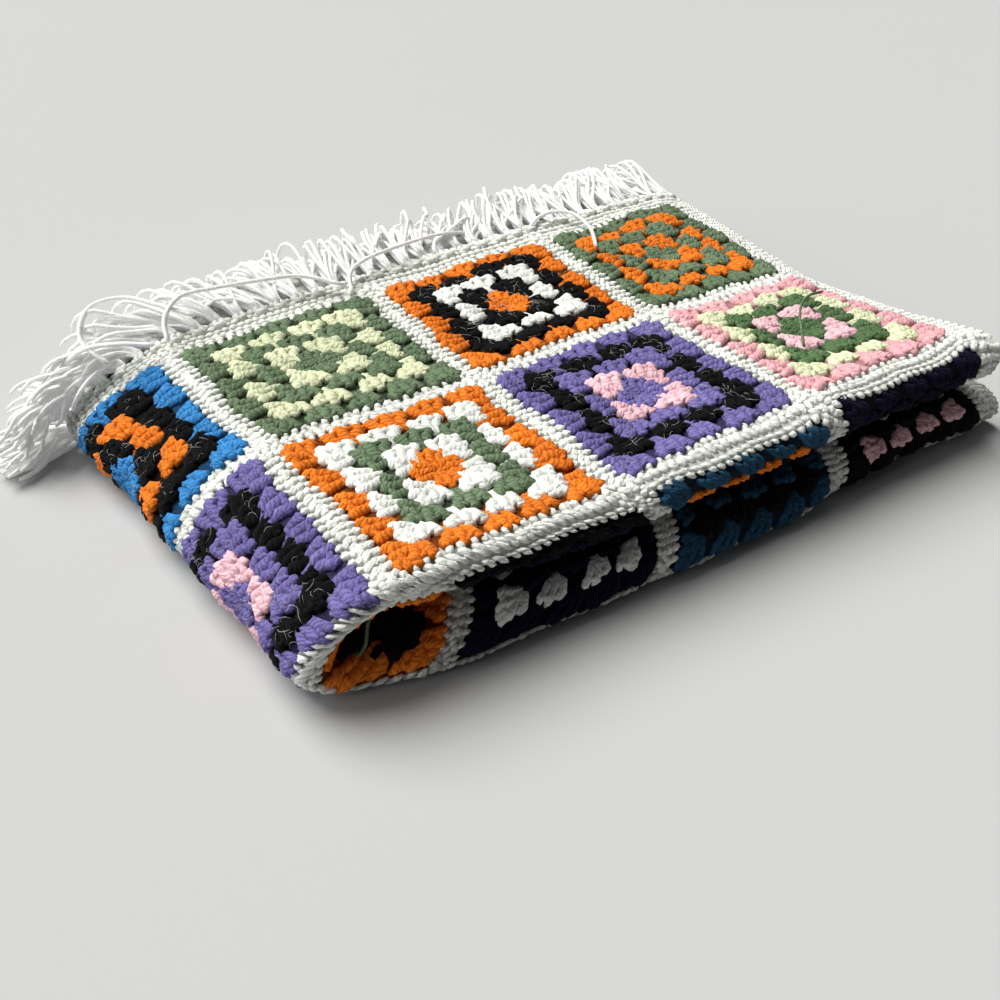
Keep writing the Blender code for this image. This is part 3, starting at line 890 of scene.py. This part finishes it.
def laid(along, down, up):
    """Points in space from places on the flat blanket; what would go through the floor is pressed flat."""
    along, down = np.broadcast_arrays(along, down)
    inside = np.minimum(np.minimum(along, FLAT_WIDTH - along), np.minimum(down, FLAT_LENGTH - down))
    fade = as_share(inside / WAVER_FADE)
    sway = wavering(along, down, SWAY_WAVES)
    swing = wavering(down, along, SWING_WAVES)
    first, second, third, fourth = PUCKER_WAVES
    pucker = np.sin(along * first + down * second) * np.sin(down * third + along * fourth)
    shift_along, shift_down = work_shift(along, down)
    across = along + DRAW_IN * drawn_in(along) + fade * (WAVER * sway + shift_along)
    along = np.clip(across, 0.0, FLAT_WIDTH)
    down = np.clip(down + fade * (WAVER * swing + shift_down), 0.0, FLAT_LENGTH)
    up = up + PUCKER * fade * pucker
    points = cloth_point(along, down) + cloth_normal(along, down) * up[..., None]
    sunk = np.minimum(points[..., 2] - FLOOR_CLEARANCE - PRESSED, 0.0)
    points[..., 2] += PRESSED * np.exp(sunk / PRESSED) - PRESSED - sunk
    return points


print("a point on the near edge:", laid(np.array([0.8]), np.array([0.02]), np.zeros(1)).round(3))

# %% Copies of a stitch, folded with the cloth
STITCH_HEIGHT = 0.0028
SPREAD_STEP = 0.0020
SPREAD_LIMITS = (0.9, 2.0)
UNEVEN = 0.00022
PAINTED_SHADE_BELOW = 0.8
PAINTED_SHADE_DEPTH = 3.6


def spread_down(along, down, up):
    """How much longer a step down the cloth is at a stitch's height than on the cloth itself."""
    ahead, behind = (
        cloth_point(along, down + step) + cloth_normal(along, down + step) * up[..., None]
        for step in (SPREAD_STEP, -SPREAD_STEP)
    )
    return np.clip(np.linalg.norm(ahead - behind, axis=-1) / (2 * SPREAD_STEP), *SPREAD_LIMITS)


def folded_copies(shape, places):
    """Copies of a flat shape on the cloth. places: rows of along, down, turn, size, side, tone, lift."""
    points, faces, plies = shape
    along, down, turn, size, side, tone, lift = np.array(places, float).T[:, :, None]
    points = points + about(UNEVEN, (len(places), *points.shape))
    cos, sin = np.cos(turn), np.sin(turn)
    x = points[..., 0] * side * size
    y = points[..., 1] * size
    at_along = np.clip(along + x * cos - y * sin, 0.0, FLAT_WIDTH)
    reach_down = (x * sin + y * cos) / spread_down(along, down, STITCH_HEIGHT * side)
    at_down = np.clip(down - reach_down, 0.0, FLAT_LENGTH)
    folded = laid(at_along, at_down, (points[..., 2] * size + lift) * side)
    # height within the stitch, which sets its painted shade: low points are drawn darker
    height = as_share((points[..., 2] / MM + PAINTED_SHADE_BELOW) / PAINTED_SHADE_DEPTH)
    count = points.shape[1]
    all_faces = faces[None] + (np.arange(len(places)) * count)[:, None, None]
    tones, all_plies = np.repeat(tone.ravel(), count), np.tile(plies, len(places))
    return folded.reshape(-1, 3), all_faces.reshape(-1, 3), height.ravel(), tones, all_plies


print("height of a stitch's middle:", STITCH_HEIGHT / MM, "mm")


# %% One mesh object out of many parts
def new_piece(name, parts, materials, face_materials=None):
    """One mesh object from (points, triangles, height, tone, plies) parts."""
    starts = np.cumsum([0] + [len(part[0]) for part in parts[:-1]])
    points = np.concatenate([part[0] for part in parts])
    faces = np.concatenate([part[1] + start for part, start in zip(parts, starts)])
    mesh = bpy.data.meshes.new(name)
    mesh.vertices.add(len(points))
    mesh.vertices.foreach_set("co", points.astype(np.float32).ravel())
    mesh.loops.add(faces.size)
    mesh.loops.foreach_set("vertex_index", faces.astype(np.int32).ravel())
    mesh.polygons.add(len(faces))
    mesh.polygons.foreach_set("loop_start", np.arange(0, faces.size, 3, dtype=np.int32))
    mesh.polygons.foreach_set("use_smooth", np.ones(len(faces), bool))
    for label, column in (("height", 2), ("tone", 3), ("plies", 4)):
        values = np.concatenate([part[column] for part in parts]).astype(np.float32)
        mesh.attributes.new(label, "FLOAT", "POINT").data.foreach_set("value", values)
    for material in materials:
        mesh.materials.append(material)
    if face_materials is not None:
        mesh.polygons.foreach_set("material_index", face_materials)
    mesh.update(calc_edges=True)
    mesh.validate()
    piece = bpy.data.objects.new(name, mesh)
    bpy.context.scene.collection.objects.link(piece)
    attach(piece, "root")
    print(name, len(faces), "triangles")
    return piece


# %% [markdown]
# ## The cloth under the stitches
#
# Between the fans a little of the cloth behind them shows. One closed sheet of the same fold carries
# all the stitches; each of its cells takes the darker yarn of its round and the next one out, drawn in
# that yarn's hollow colour all over: painted shade between the fans.

# %% Where the sheet's cells lie, and their yarn
def flat_stations():
    """Distances across the columns: the rounds' edges, and closer ones round the folded end."""
    stations = [0.0, SIDE_BORDER / 2]
    for column in range(COLUMNS):
        start = SIDE_BORDER + column * SQUARE_PITCH
        inset = (SQUARE_PITCH - SQUARE_SIDE) / 2
        cells = 2 * ROUNDS * (2 if column == COLUMNS // 2 else 1)
        stations.append(start)
        stations += list(start + inset + SQUARE_SIDE * np.arange(cells + 1) / cells)
    return np.array(stations + [FLAT_WIDTH - SIDE_BORDER, FLAT_WIDTH - SIDE_BORDER / 2, FLAT_WIDTH])


def yarn_between(along, down):
    """Name of the yarn between the fans at a place: the darker one of its round and the next one out, for
    painted shade.
    """
    column = (along - SIDE_BORDER) / SQUARE_PITCH
    row = (down - JOIN_BAND) / SQUARE_PITCH
    if not (0 <= column < COLUMNS and 0 <= row < ROWS):
        return "white"
    x = abs(column % 1 - 0.5) * SQUARE_PITCH
    y = abs(row % 1 - 0.5) * SQUARE_PITCH
    ring = max(math.ceil(max(x, y) / ROUND_DEPTH), 1)
    if ring > ROUNDS:
        return "white"
    pair = square_colours(int(row) + 1, int(column) + 1)[max(ROUNDS - ring - 1, 0):ROUNDS - ring + 1]
    return min(pair, key=lambda name: sum(YARNS[name][0]))


print("stations across the cloth:", len(flat_stations()))

# %% The sheet
SHEET_THICK = 0.0016
EDGE_THICK = 0.0032
EDGE_SHARE = 0.9
SHEET_TONE = 0.4


def grid_faces(number):
    """Two triangles for each cell of a grid of point numbers."""
    a, b, c, d = number[:-1, :-1], number[:-1, 1:], number[1:, 1:], number[1:, :-1]
    return np.concatenate([np.stack(corners, -1).reshape(-1, 3) for corners in ((a, b, c), (a, c, d))])


def make_sheet():
    """The closed sheet: its upper face, its lower face and the rim between them."""
    alongs, downs = flat_stations(), SECTION_DOWN
    along, down = np.meshgrid(alongs, downs, indexing="ij")
    number = np.arange(along.size).reshape(along.shape)
    upper = grid_faces(number)
    rim = np.concatenate([number[:, 0], number[-1, 1:], number[-2::-1, -1], number[0, -2::-1]])
    edge = grid_faces(np.stack([rim, rim + number.size], axis=1))
    faces = np.concatenate([upper[:, ::-1], upper + number.size, edge[:, ::-1]])
    at_edge = np.minimum(along, FLAT_WIDTH - along) < SIDE_BORDER * EDGE_SHARE
    thick = np.where(at_edge, EDGE_THICK, SHEET_THICK)
    points = np.concatenate([laid(along, down, side * thick / 2).reshape(-1, 3) for side in (1, -1)])
    names = list(MATERIALS)
    cells = [
        names.index(yarn_between(x, y))
        for x in (alongs[:-1] + alongs[1:]) / 2
        for y in (downs[:-1] + downs[1:]) / 2
    ]
    slots = np.concatenate([cells * 4, np.full(len(edge), names.index("white"))]).astype(np.int32)
    # the sheet's height is zero everywhere, so each cell is drawn in its yarn's painted shade colour
    hollow = np.zeros(len(points))
    part = (points, faces, hollow, hollow + SHEET_TONE, hollow)
    return new_piece("cloth_sheet", [part], list(MATERIALS.values()), slots)


SHEET = make_sheet()

# %% [markdown]
# ## The fans
#
# Round after round, fans stand in the gaps of the round before: one to a side in the middle, five to a
# side in the last. The fans at a corner lean towards it. Those inside the folded stack, which nothing
# shows, are left out.

# %% The fans of one square
FAN_STEP = 0.0268
FOOT_BELOW = 0.0082
CORNER_LEAN = math.radians(9)
MIDDLE_SIZE = 0.80
FAN_SIZE = 1.13
FRONT_FAN_SIZE = 0.96
SQUARE_TWIST = 0.030
FAN_STRAY = {"across": 0.0006, "size": (0.96, 1.07), "turn": 0.05, "tone": (0.15, 0.85), "lift": 0.0003}
TURNED_FROM = 5


def face_of(row):
    """The face of the sheet that a row's fans stand on: 1, or -1 from row TURNED_FROM on."""
    return 1 if row < TURNED_FROM else -1


def beside(middle, turn, across, out):
    """(along, down) of a place off a middle: out from it in the direction of a turn, and across that."""
    along = middle[0] + across * math.cos(turn) - out * math.sin(turn)
    return along, middle[1] - (across * math.sin(turn) + out * math.cos(turn))


def fans_of_square(row, column):
    """(yarn, place) of each fan of one square, from its middle outwards."""
    found = []
    middle = square_middle(row, column)
    usual = FRONT_FAN_SIZE if row == 3 and column != COLUMNS // 2 + 1 else FAN_SIZE
    twist = about(SQUARE_TWIST)
    for ring, yarn in enumerate(reversed(square_colours(row, column)), start=1):
        out = (ring - 1) * ROUND_DEPTH - FOOT_BELOW * min(ring - 1, 1)
        for quarter in range(4):
            turn = quarter * math.pi / 2 + twist * (ROUNDS - ring)
            for slot in range(ring):
                across = (slot - (ring - 1) / 2) * FAN_STEP
                lean = -CORNER_LEAN * across / (2 * FAN_STEP)
                across += about(FAN_STRAY["across"])
                size = usual * (among(FAN_STRAY["size"]) * (MIDDLE_SIZE if ring == 1 else 1.0))
                found.append((yarn, (
                    *beside(middle, turn, across, out), turn + lean + about(FAN_STRAY["turn"]),
                    size, face_of(row), among(FAN_STRAY["tone"]), about(FAN_STRAY["lift"]),
                )))
    return found


print("fans in a square:", 4 * sum(range(1, ROUNDS + 1)))

# %% Fans on every square that shows
SHOWN_SQUARES = [(row, column) for row in (1, 2, 3, ROWS) for column in range(1, COLUMNS + 1)]
SEEN_DOWN_FRONT = JOIN_BAND + 2 * SQUARE_PITCH + 0.105
SEEN_DOWN_BACK = FLAT_LENGTH - 0.050


def fan_shows(row, place):
    """Whether a place can be seen: rows 1 and 2, the first part of row 3, and the edge of the last row."""
    if row <= 2:
        return True
    if row == 3:
        return place[1] < SEEN_DOWN_FRONT
    return row == ROWS and place[1] > SEEN_DOWN_BACK and place[0] > END_JOINT - SQUARE_PITCH


def lies_on_floor(row, column):
    """Whether a square is on the underside of the stack."""
    return row <= 2 and column < (COLUMNS + 1) // 2


def fans_by_yarn():
    """Places of the fans that show, for each yarn: the full ones, and the plain ones on the floor."""
    found = {}
    for row, column in SHOWN_SQUARES:
        for yarn, place in fans_of_square(row, column):
            if not fan_shows(row, place):
                continue
            places = found.setdefault(yarn, ([], []))[int(lies_on_floor(row, column))]
            places.append(place)
            if row == ROWS:  # the last row can be seen from both faces
                places.append((*place[:4], 1, *place[5:]))
    return found


def make_fans():
    """One piece of fans for each yarn."""
    made = []
    for yarn, places in sorted(FANS.items()):
        parts = [folded_copies(shape, rows) for shape, rows in zip((FAN, PLAIN_FAN), places) if rows]
        made.append(new_piece(f"fans_{yarn}", parts, [MATERIALS[yarn]]))
    return made


FANS = fans_by_yarn()
FAN_PIECES = make_fans()

# %% [markdown]
# ## The white bands
#
# A round of single crochet goes round each square: a long leg that reaches over the last round, with
# the colour showing between the legs, and a slanted loop outside it. Two such rounds meet in a low
# ridge where the squares are joined.

# %% One single crochet, and the plain stitch of the border
def single_crochet():
    """A long leg with a loop outside it."""
    leg = bead((5.0, 6.8, 4.0), (-0.4, 0.4, 1.4), 14)
    loop = bead((7.2, 5.4, 4.0), (0.4, 4.7, 1.0), 24)
    return joined([leg, loop], "single_crochet")


SINGLE_CROCHET = taken_mesh(single_crochet())
BORDER_STITCH = taken_mesh(bead((7.0, 5.8, 4.4), (0.0, 0.0, 0.8), 26))
print("single crochet:", len(SINGLE_CROCHET[1]), "triangles")

# %% The band round one square, and a row of border stitches
BAND_STITCHES = 20
BAND_OVERLAP = 0.0005
CORNER_POWER = 5
BAND_STRAY = {"across": 0.0003, "turn": 0.06, "size": (0.95, 1.08), "tone": (0.2, 0.8), "lift": 0.0002}
BORDER_STRAY = {"turn": 0.07, "size": (0.94, 1.08), "tone": (0.2, 0.8)}


def band_of_square(row, column):
    """Places of the single crochets round one square; near a corner they lean over towards it."""
    reach = SQUARE_SIDE / 2
    places = []
    for quarter in range(4):
        turn = quarter * math.pi / 2
        for slot in range(BAND_STITCHES):
            across = ((slot + 0.5) / BAND_STITCHES * 2 - 1) * (reach + BAND_OVERLAP)
            lean = -math.copysign(math.pi / 4 * abs(across / reach) ** CORNER_POWER, across)
            across += about(BAND_STRAY["across"])
            places.append((
                *beside(square_middle(row, column), turn, across, reach),
                turn + lean + about(BAND_STRAY["turn"]), among(BAND_STRAY["size"]),
                face_of(row), among(BAND_STRAY["tone"]), about(BAND_STRAY["lift"]),
            ))
    return places


def stitch_row(alongs, downs, turn, side):
    """Border stitches in a line."""
    return [
        (
            x, y, turn + about(BORDER_STRAY["turn"]), among(BORDER_STRAY["size"]),
            side, among(BORDER_STRAY["tone"]), 0.0,
        )
        for x, y in zip(*np.broadcast_arrays(alongs, downs))
    ]


print("stitches round a square:", 4 * BAND_STITCHES)

# %% The border, the joints and their crossings
BORDER_ROW = 0.0062
STITCH_STEP = 0.0059
BORDER_IN = 0.0034
END_LINES = 4
TURNED_LINES = 2
SIDE_LINES = 6
CROSSING_RINGS = ((0.0, 1), (0.0056, 5), (0.0104, 8))
CROSSING_STRAY = {"turn": 0.1, "size": (0.9, 1.05), "tone": (0.2, 0.8)}


def border_places():
    """The ridge of each joint, and the plain rows along the blanket's four edges."""
    places = []
    for joint in range(1, COLUMNS):
        downs = np.arange(JOIN_BAND, SEEN_DOWN_FRONT, STITCH_STEP)
        places += stitch_row(SIDE_BORDER + joint * SQUARE_PITCH, downs, math.pi / 2, 1)
    for joint in (1, 2):
        alongs = np.arange(SIDE_BORDER, FLAT_WIDTH - SIDE_BORDER, STITCH_STEP)
        places += stitch_row(alongs, JOIN_BAND + joint * SQUARE_PITCH, 0.0, 1)
    alongs = np.arange(STITCH_STEP / 2, FLAT_WIDTH, STITCH_STEP)
    for line in range(END_LINES):
        at = BORDER_IN + line * BORDER_ROW
        places += stitch_row(alongs + 0.5 * (line % 2) * STITCH_STEP, at, 0.0, 1)
        if line < TURNED_LINES:
            places += stitch_row(alongs, FLAT_LENGTH - at, math.pi, -1)
    for line in range(SIDE_LINES):
        at = BORDER_IN + line * BORDER_ROW
        last = FLAT_LENGTH if line < 1 else SEEN_DOWN_FRONT
        downs = np.arange(JOIN_BAND + STITCH_STEP / 2, last, STITCH_STEP)
        places += stitch_row(at, downs, math.pi / 2, 1)
        places += stitch_row(FLAT_WIDTH - at, downs, -math.pi / 2, 1)
    return places


def crossing_places():
    """The few stitches that close the middle where four squares meet."""
    places = []
    for row in range(4):
        for column in range(COLUMNS + 1):
            middle = (SIDE_BORDER + column * SQUARE_PITCH, JOIN_BAND + row * SQUARE_PITCH)
            for out, count in CROSSING_RINGS:
                for slot in range(count):
                    turn = 2 * math.pi * (slot + 0.5) / count + about(CROSSING_STRAY["turn"])
                    places.append((
                        *beside(middle, turn, 0.0, out), turn, among(CROSSING_STRAY["size"]),
                        1, among(CROSSING_STRAY["tone"]), 0.0,
                    ))
    return places


def make_bands():
    """The bands of the squares on top, those of the squares below, and all the plain stitches."""
    found = {"bands_lower": [], "bands_upper": []}
    for row, column in SHOWN_SQUARES:
        shown = [place for place in band_of_square(row, column) if fan_shows(row, place)]
        found["bands_upper" if column > COLUMNS // 2 else "bands_lower"] += shown
    white = [MATERIALS["white"]]
    made = [
        new_piece(name, [folded_copies(SINGLE_CROCHET, found[name])], white)
        for name in ("bands_upper", "bands_lower")
    ]
    plain = border_places() + crossing_places()
    return [*made, new_piece("border_rows", [folded_copies(BORDER_STITCH, plain)], white)]


BAND_PIECES = make_bands()

# %% [markdown]
# ## The fringe
#
# Along two edges, bundles of yarn are pulled through the border and knotted. Each bundle falls its own
# way: out over the edge and down behind the stack on top, and in long sweeps to the left round the
# folded end. A strand is a thin tube that follows its own falling path.

# %% Tubes of yarn along a path
TUBE_SIDES = 5
TIP_SHARE = 0.7
TINY = 1e-12
UPRIGHT = 1e-3  # a path nearer to upright than this takes the X axis as its side


def tubes(paths, radius, tones, sides=TUBE_SIDES):
    """Closed tubes along paths of equal length: paths is an array (tubes, stations, 3)."""
    paths = np.asarray(paths, float)
    count, stations, _ = paths.shape
    forward = np.gradient(paths, axis=1)
    forward /= np.linalg.norm(forward, axis=2, keepdims=True) + TINY
    side = np.cross(forward, (0.0, 0.0, 1.0))
    short = np.linalg.norm(side, axis=2, keepdims=True)
    side = np.where(short > UPRIGHT, side / np.maximum(short, UPRIGHT), np.array([1.0, 0.0, 0.0]))
    up = np.cross(side, forward)
    angle = 2 * math.pi * np.arange(sides) / sides
    wide = np.full(stations, radius)
    wide[-1] *= TIP_SHARE
    ring = side[:, :, None] * np.cos(angle)[:, None] + up[:, :, None] * np.sin(angle)[:, None]
    points = paths[:, :, None] + ring * wide[None, :, None, None]
    points = np.concatenate([points.reshape(count, -1, 3), paths[:, :1], paths[:, -1:]], axis=1)
    number = np.arange(stations * sides).reshape(stations, sides)
    start, end = np.full(sides, stations * sides), np.full(sides, stations * sides + 1)
    faces = np.concatenate([
        grid_faces(np.hstack([number, number[:, :1]])),
        np.stack([np.roll(number[0], -1), number[0], start], 1),
        np.stack([number[-1], np.roll(number[-1], -1), end], 1),
    ])
    each = points.shape[1]
    all_faces = faces[None] + (np.arange(count) * each)[:, None, None]
    bright = np.repeat(np.asarray(tones, float), each)
    return points.reshape(-1, 3), all_faces.reshape(-1, 3), np.ones(count * each), bright, 0.0 * bright


print("a strand has", TUBE_SIDES, "sides")

# %% How the strands fall
STRAND_RADIUS = 0.0015
STRAND_LENGTH = 0.110
STRAND_STEPS = 12
KNOT_STEP = 0.0160
STRANDS_PER_KNOT = {"outer": 15, "second": 7}
BUNDLE_HALF = 0.0024
LEAN_RUN = 0.024
SWEEP = 5.0
SWEEP_RUN = 0.020
STRAND_STRAY = {
    "first": (-2.0, 6.0), "first limits": (-14.0, 7.0), "last": 8.0, "straight": (0.5, 1.15),
    "length": (0.84, 1.06), "rest": 0.004, "phase": (0.0, 0.9),
}
STRAND_LEAN = (
    # share across the edge, outer and second edge's lean to the right in degrees, length's share
    (0.00, 8, 4, 1.00),
    (0.30, -4, -3, 1.00),
    (0.40, -10, -12, 0.95),
    (0.44, -45, -20, 0.74),
    (0.47, -100, -30, 0.62),
    (0.50, -120, -30, 0.60),
    (0.53, -104, -30, 0.64),
    (0.56, -70, -24, 0.78),
    (0.60, -36, -14, 0.92),
    (0.65, -8, 0, 1.00),
    (0.70, 14, 10, 1.00),
    (0.76, 26, 20, 1.00),
    (0.90, 26, 20, 1.00),
    (1.00, 6, 6, 1.00),
)
STRAND_FALL = {
    "outer": (
        # facing, start, end, straight, drop, rest
        (-1.0, -4, -4, 0.010, 0.010, 0.0015),
        (0.0, -6, -80, 0.012, 0.028, 0.0080),
        (1.0, 9, -78, 0.050, 0.032, 0.0300),
    ),
    "second": (
        (-1.0, -20, -30, 0.004, 0.020, 0.0036),
        (0.0, -14, -70, 0.006, 0.020, 0.0080),
        (1.0, -10, -70, 0.030, 0.026, 0.0130),
    ),
}


def falling_paths(starts, leans, shares, curls, facings, layer):
    """Paths of many strands at once, each from its root on."""
    first, last, straight, drop, rest = read_columns(STRAND_FALL[layer], facings, np.interp)
    count = len(starts)
    stray = STRAND_STRAY
    first = first + np.clip(rng.normal(*stray["first"], count), *stray["first limits"])
    last = last + about(stray["last"], count)
    straight = straight * among(stray["straight"], count)
    lengths = STRAND_LENGTH * shares * among(stray["length"], count) / STRAND_STEPS
    rest = np.maximum(rest + about(stray["rest"], count), STRAND_RADIUS + FLOOR_CLEARANCE)
    phase = among(stray["phase"], count)
    place = np.array(starts)
    path = [place]
    for step in range(STRAND_STEPS):
        gone = lengths * (step + 0.5)
        turned = as_share((gone - straight) / drop)
        pitch = np.radians(first + (last - first) * turned)
        sink = np.maximum(lengths * np.sin(pitch), np.minimum(rest - place[:, 2], 0.0))
        wander = curls * np.sin(gone / STRAND_LENGTH * SWEEP + phase) * as_share(gone / SWEEP_RUN)
        aside = np.radians(leans * np.minimum(gone / LEAN_RUN, 1.0) + wander)
        flat = np.sqrt(np.maximum(lengths**2 - sink**2, 0.0))
        place = place + np.stack([np.sin(aside) * flat, np.cos(aside) * flat, sink], axis=1)
        path.append(place)
    return np.stack(path, axis=1)


print("outer strands lean by", min(row[1] for row in STRAND_LEAN), "to", max(row[1] for row in STRAND_LEAN))

# %% The two fringes
KNOTS_ALONG = np.arange(KNOT_STEP / 2, FLAT_WIDTH, KNOT_STEP)
BUNDLE_LEAN = 12.0
KNOT_STRAY = {"lean": 6.0, "curl": 12.0}
ROOT_STRAY = {"along": 0.0004, "lift": (-0.0020, 0.0026), "lean": 6.0, "curl": 10.0, "tone": (0.4, 0.9)}
ROOT_MARGIN = 0.001
ROOT_INSIDE = 0.004


def strand_starts(layer, edge_down, at):
    """Where the strands leave the border, and how far the border faces up there."""
    inward = SLOPE_STEP if layer == "outer" else -SLOPE_STEP
    place = cloth_point(at, edge_down)
    normal = cloth_normal(at, edge_down + inward)
    outward = place - cloth_point(at, edge_down + inward)
    outward /= np.linalg.norm(outward, axis=1, keepdims=True)
    lift = among(ROOT_STRAY["lift"], len(at))
    starts = place - outward * ROOT_INSIDE + normal * lift[:, None]
    starts[:, 2] = np.maximum(starts[:, 2], STRAND_RADIUS + FLOOR_CLEARANCE)
    return starts, normal[:, 2] if layer == "outer" else -normal[:, 2]


def bundle_strays(what, bundle):
    """Random amounts for all strands: one that a whole bundle shares, and one of each strand's own."""
    knots = len(KNOTS_ALONG)
    return np.repeat(about(KNOT_STRAY[what], knots), bundle), about(ROOT_STRAY[what], knots * bundle)


def make_fringe(layer, edge_down):
    """All the strands of one edge, in bundles."""
    bundle = STRANDS_PER_KNOT[layer]
    roots = np.repeat(KNOTS_ALONG, bundle)
    aside = np.tile(np.linspace(-1.0, 1.0, bundle), len(KNOTS_ALONG))
    at = roots + BUNDLE_HALF * aside + about(ROOT_STRAY["along"], len(roots))
    at = np.clip(at, ROOT_MARGIN, FLAT_WIDTH - ROOT_MARGIN)
    starts, facing = strand_starts(layer, edge_down, at)
    outer_lean, second_lean, shares = read_columns(STRAND_LEAN, roots / FLAT_WIDTH, np.interp)
    lean = (outer_lean if layer == "outer" else second_lean) + BUNDLE_LEAN * aside
    shared, own = bundle_strays("lean", bundle)
    lean = lean + shared + own
    shared, own = bundle_strays("curl", bundle)
    paths = falling_paths(starts, lean, shares, shared + own, facing, layer)
    tones = among(ROOT_STRAY["tone"], len(roots))
    return new_piece(f"fringe_{layer}", [tubes(paths, STRAND_RADIUS, tones)], [MATERIALS["glowing white"]])


FRINGE_OUTER = make_fringe("outer", 0.0)
FRINGE_SECOND = make_fringe("second", FLAT_LENGTH)

# %% A few loose strands on top
LOOSE_STRANDS = {
    # each strand's stops from its knot on: x, y, z in mm
    "along the back, long": (
        (-213, 148, 76), (-206, 170, 82), (-188, 186, 87), (-163, 183, 88),
        (-133, 177, 88), (-103, 171, 86), (-78, 152, 80),
    ),
    "along the back, short": (
        (-75, 146, 76), (-68, 162, 82), (-52, 170, 86), (-18, 176, 87), (23, 184, 84), (58, 188, 76),
    ),
    "over the far square": (
        (94, 166, 74), (106, 170, 82), (121, 168, 86), (133, 155, 86), (131, 130, 83), (119, 106, 79),
    ),
    "loop at the left": (
        (-250, 168, 60), (-259, 193, 72), (-244, 214, 82), (-222, 208, 86), (-203, 188, 83), (-186, 170, 78),
    ),
    "down the left end": (
        (-222, 152, 74), (-245, 160, 78), (-264, 178, 70), (-283, 196, 46), (-296, 206, 22), (-306, 206, 3),
    ),
}
LOOSE_STATIONS = 28
SECOND_STRAND = (0.0016, 0.0024, -0.0012)
LOOSE_TONES = (0.6, 0.9)


def smooth_path(stops):
    """An even curve through the stops of one strand."""
    at = np.linspace(0.0, len(stops) - 1.0, LOOSE_STATIONS)
    columns = [smooth_table(at, np.arange(len(stops)), column) for column in np.array(stops).T / 1000]
    return np.stack(columns, axis=1)


def make_loose_strands():
    """Each loose strand, with a second one close beside it."""
    paths = []
    for stops in LOOSE_STRANDS.values():
        path = smooth_path(stops)
        paths += [path, path + SECOND_STRAND]
    tones = among(LOOSE_TONES, len(paths))
    return new_piece("loose_strands", [tubes(paths, STRAND_RADIUS, tones)], [MATERIALS["glowing white"]])


LOOSE = make_loose_strands()

# %% Tails of yarn left by the maker, and lint on the darker fans
TAILS = {
    "on the far near square": (
        (134, -97, 80), (144, -84, 85), (154, -73, 86), (166, -63, 87), (181, -56, 87), (199, -53, 84),
    ),
    "inside the folded end": (
        (-206, -128, 63), (-210, -133, 54), (-216, -136, 43),
        (-219, -138, 33), (-222, -136, 26), (-222, -131, 22),
    ),
}
TAIL_RADIUS = 0.0010
# painted shade: the tail inside the folded end has the lowest tone and is drawn darker than the one on top
TAIL_TONES_WITH_SHADE = (0.9, 0.1)
LINT_YARNS = ("black", "black", "black", "purple")
LINT_COUNT = 520
LINT_RADIUS = 0.00008
LINT_UP = 0.0046
LINT_UP_STRAY = 0.0005
LINT_ARCH = 0.0012
LINT_STATIONS = 5
LINT_OFF = 0.005
LINT_LENGTH = (0.003, 0.010)
LINT_BEND = (-2, 2)
FAN_BODY = 0.011


def make_tails():
    """The two ends of yarn that were never woven in."""
    paths = [smooth_path(stops) for stops in TAILS.values()]
    return new_piece("yarn_tails", [tubes(paths, TAIL_RADIUS, TAIL_TONES_WITH_SHADE)], [MATERIALS["sage"]])


def make_lint():
    """Pale hairs of the white yarn, caught on the darker fans of the top and the folded end."""
    last = JOIN_BAND + 2 * SQUARE_PITCH
    places = np.array([place for yarn in LINT_YARNS for place in FANS[yarn][0] if place[1] < last])
    chosen = places[rng.integers(0, len(places), LINT_COUNT)]
    foot_along, foot_down, turn, _, side = chosen[:, :5].T[:, :, None]
    gone = np.linspace(0.0, 1.0, LINT_STATIONS)
    length, heading, bend = (
        among(limits, (LINT_COUNT, 1)) for limits in (LINT_LENGTH, (0, 2 * math.pi), LINT_BEND)
    )
    off_along, off_down = about(LINT_OFF, (2, LINT_COUNT, 1))
    bent = heading + bend * gone
    along = foot_along - FAN_BODY * np.sin(turn) + off_along + length * gone * np.cos(bent)
    down = foot_down - FAN_BODY * np.cos(turn) + off_down + length * gone * np.sin(bent)
    up = LINT_UP + about(LINT_UP_STRAY, (LINT_COUNT, 1)) + LINT_ARCH * np.sin(math.pi * gone)
    paths = laid(along, down, up * side)
    return new_piece("lint", [tubes(paths, LINT_RADIUS, np.zeros(LINT_COUNT), 3)], [MATERIALS["white"]])


TAIL_PIECE = make_tails()
LINT = make_lint()

# %% The knots at the roots
KNOT_IN = 0.0045


def knot():
    """A bundle pulled through the edge: two lobes over the border, and a bar across them."""
    left = bead((5.2, 11.5, 6.4), (-2.5, -1.0, 1.6), 10)
    right = bead((5.2, 11.5, 6.4), (2.5, -1.0, 1.6), -10)
    bar = bead((10.6, 4.4, 6.0), (0.0, -5.0, 2.2), 6)
    return joined([left, right, bar], "knot")


def make_knots():
    """A knot over each bundle of both edges."""
    places = stitch_row(KNOTS_ALONG, KNOT_IN, 0.0, 1)
    places += stitch_row(KNOTS_ALONG, FLAT_LENGTH - KNOT_IN, math.pi, -1)
    return new_piece("knots", [folded_copies(taken_mesh(knot()), places)], [MATERIALS["white"]])


KNOTS = make_knots()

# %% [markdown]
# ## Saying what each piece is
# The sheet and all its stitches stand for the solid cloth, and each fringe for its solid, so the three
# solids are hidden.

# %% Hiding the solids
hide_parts("blanket_cloth")
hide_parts("fringe_outer_edge")
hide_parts("fringe_second_edge")
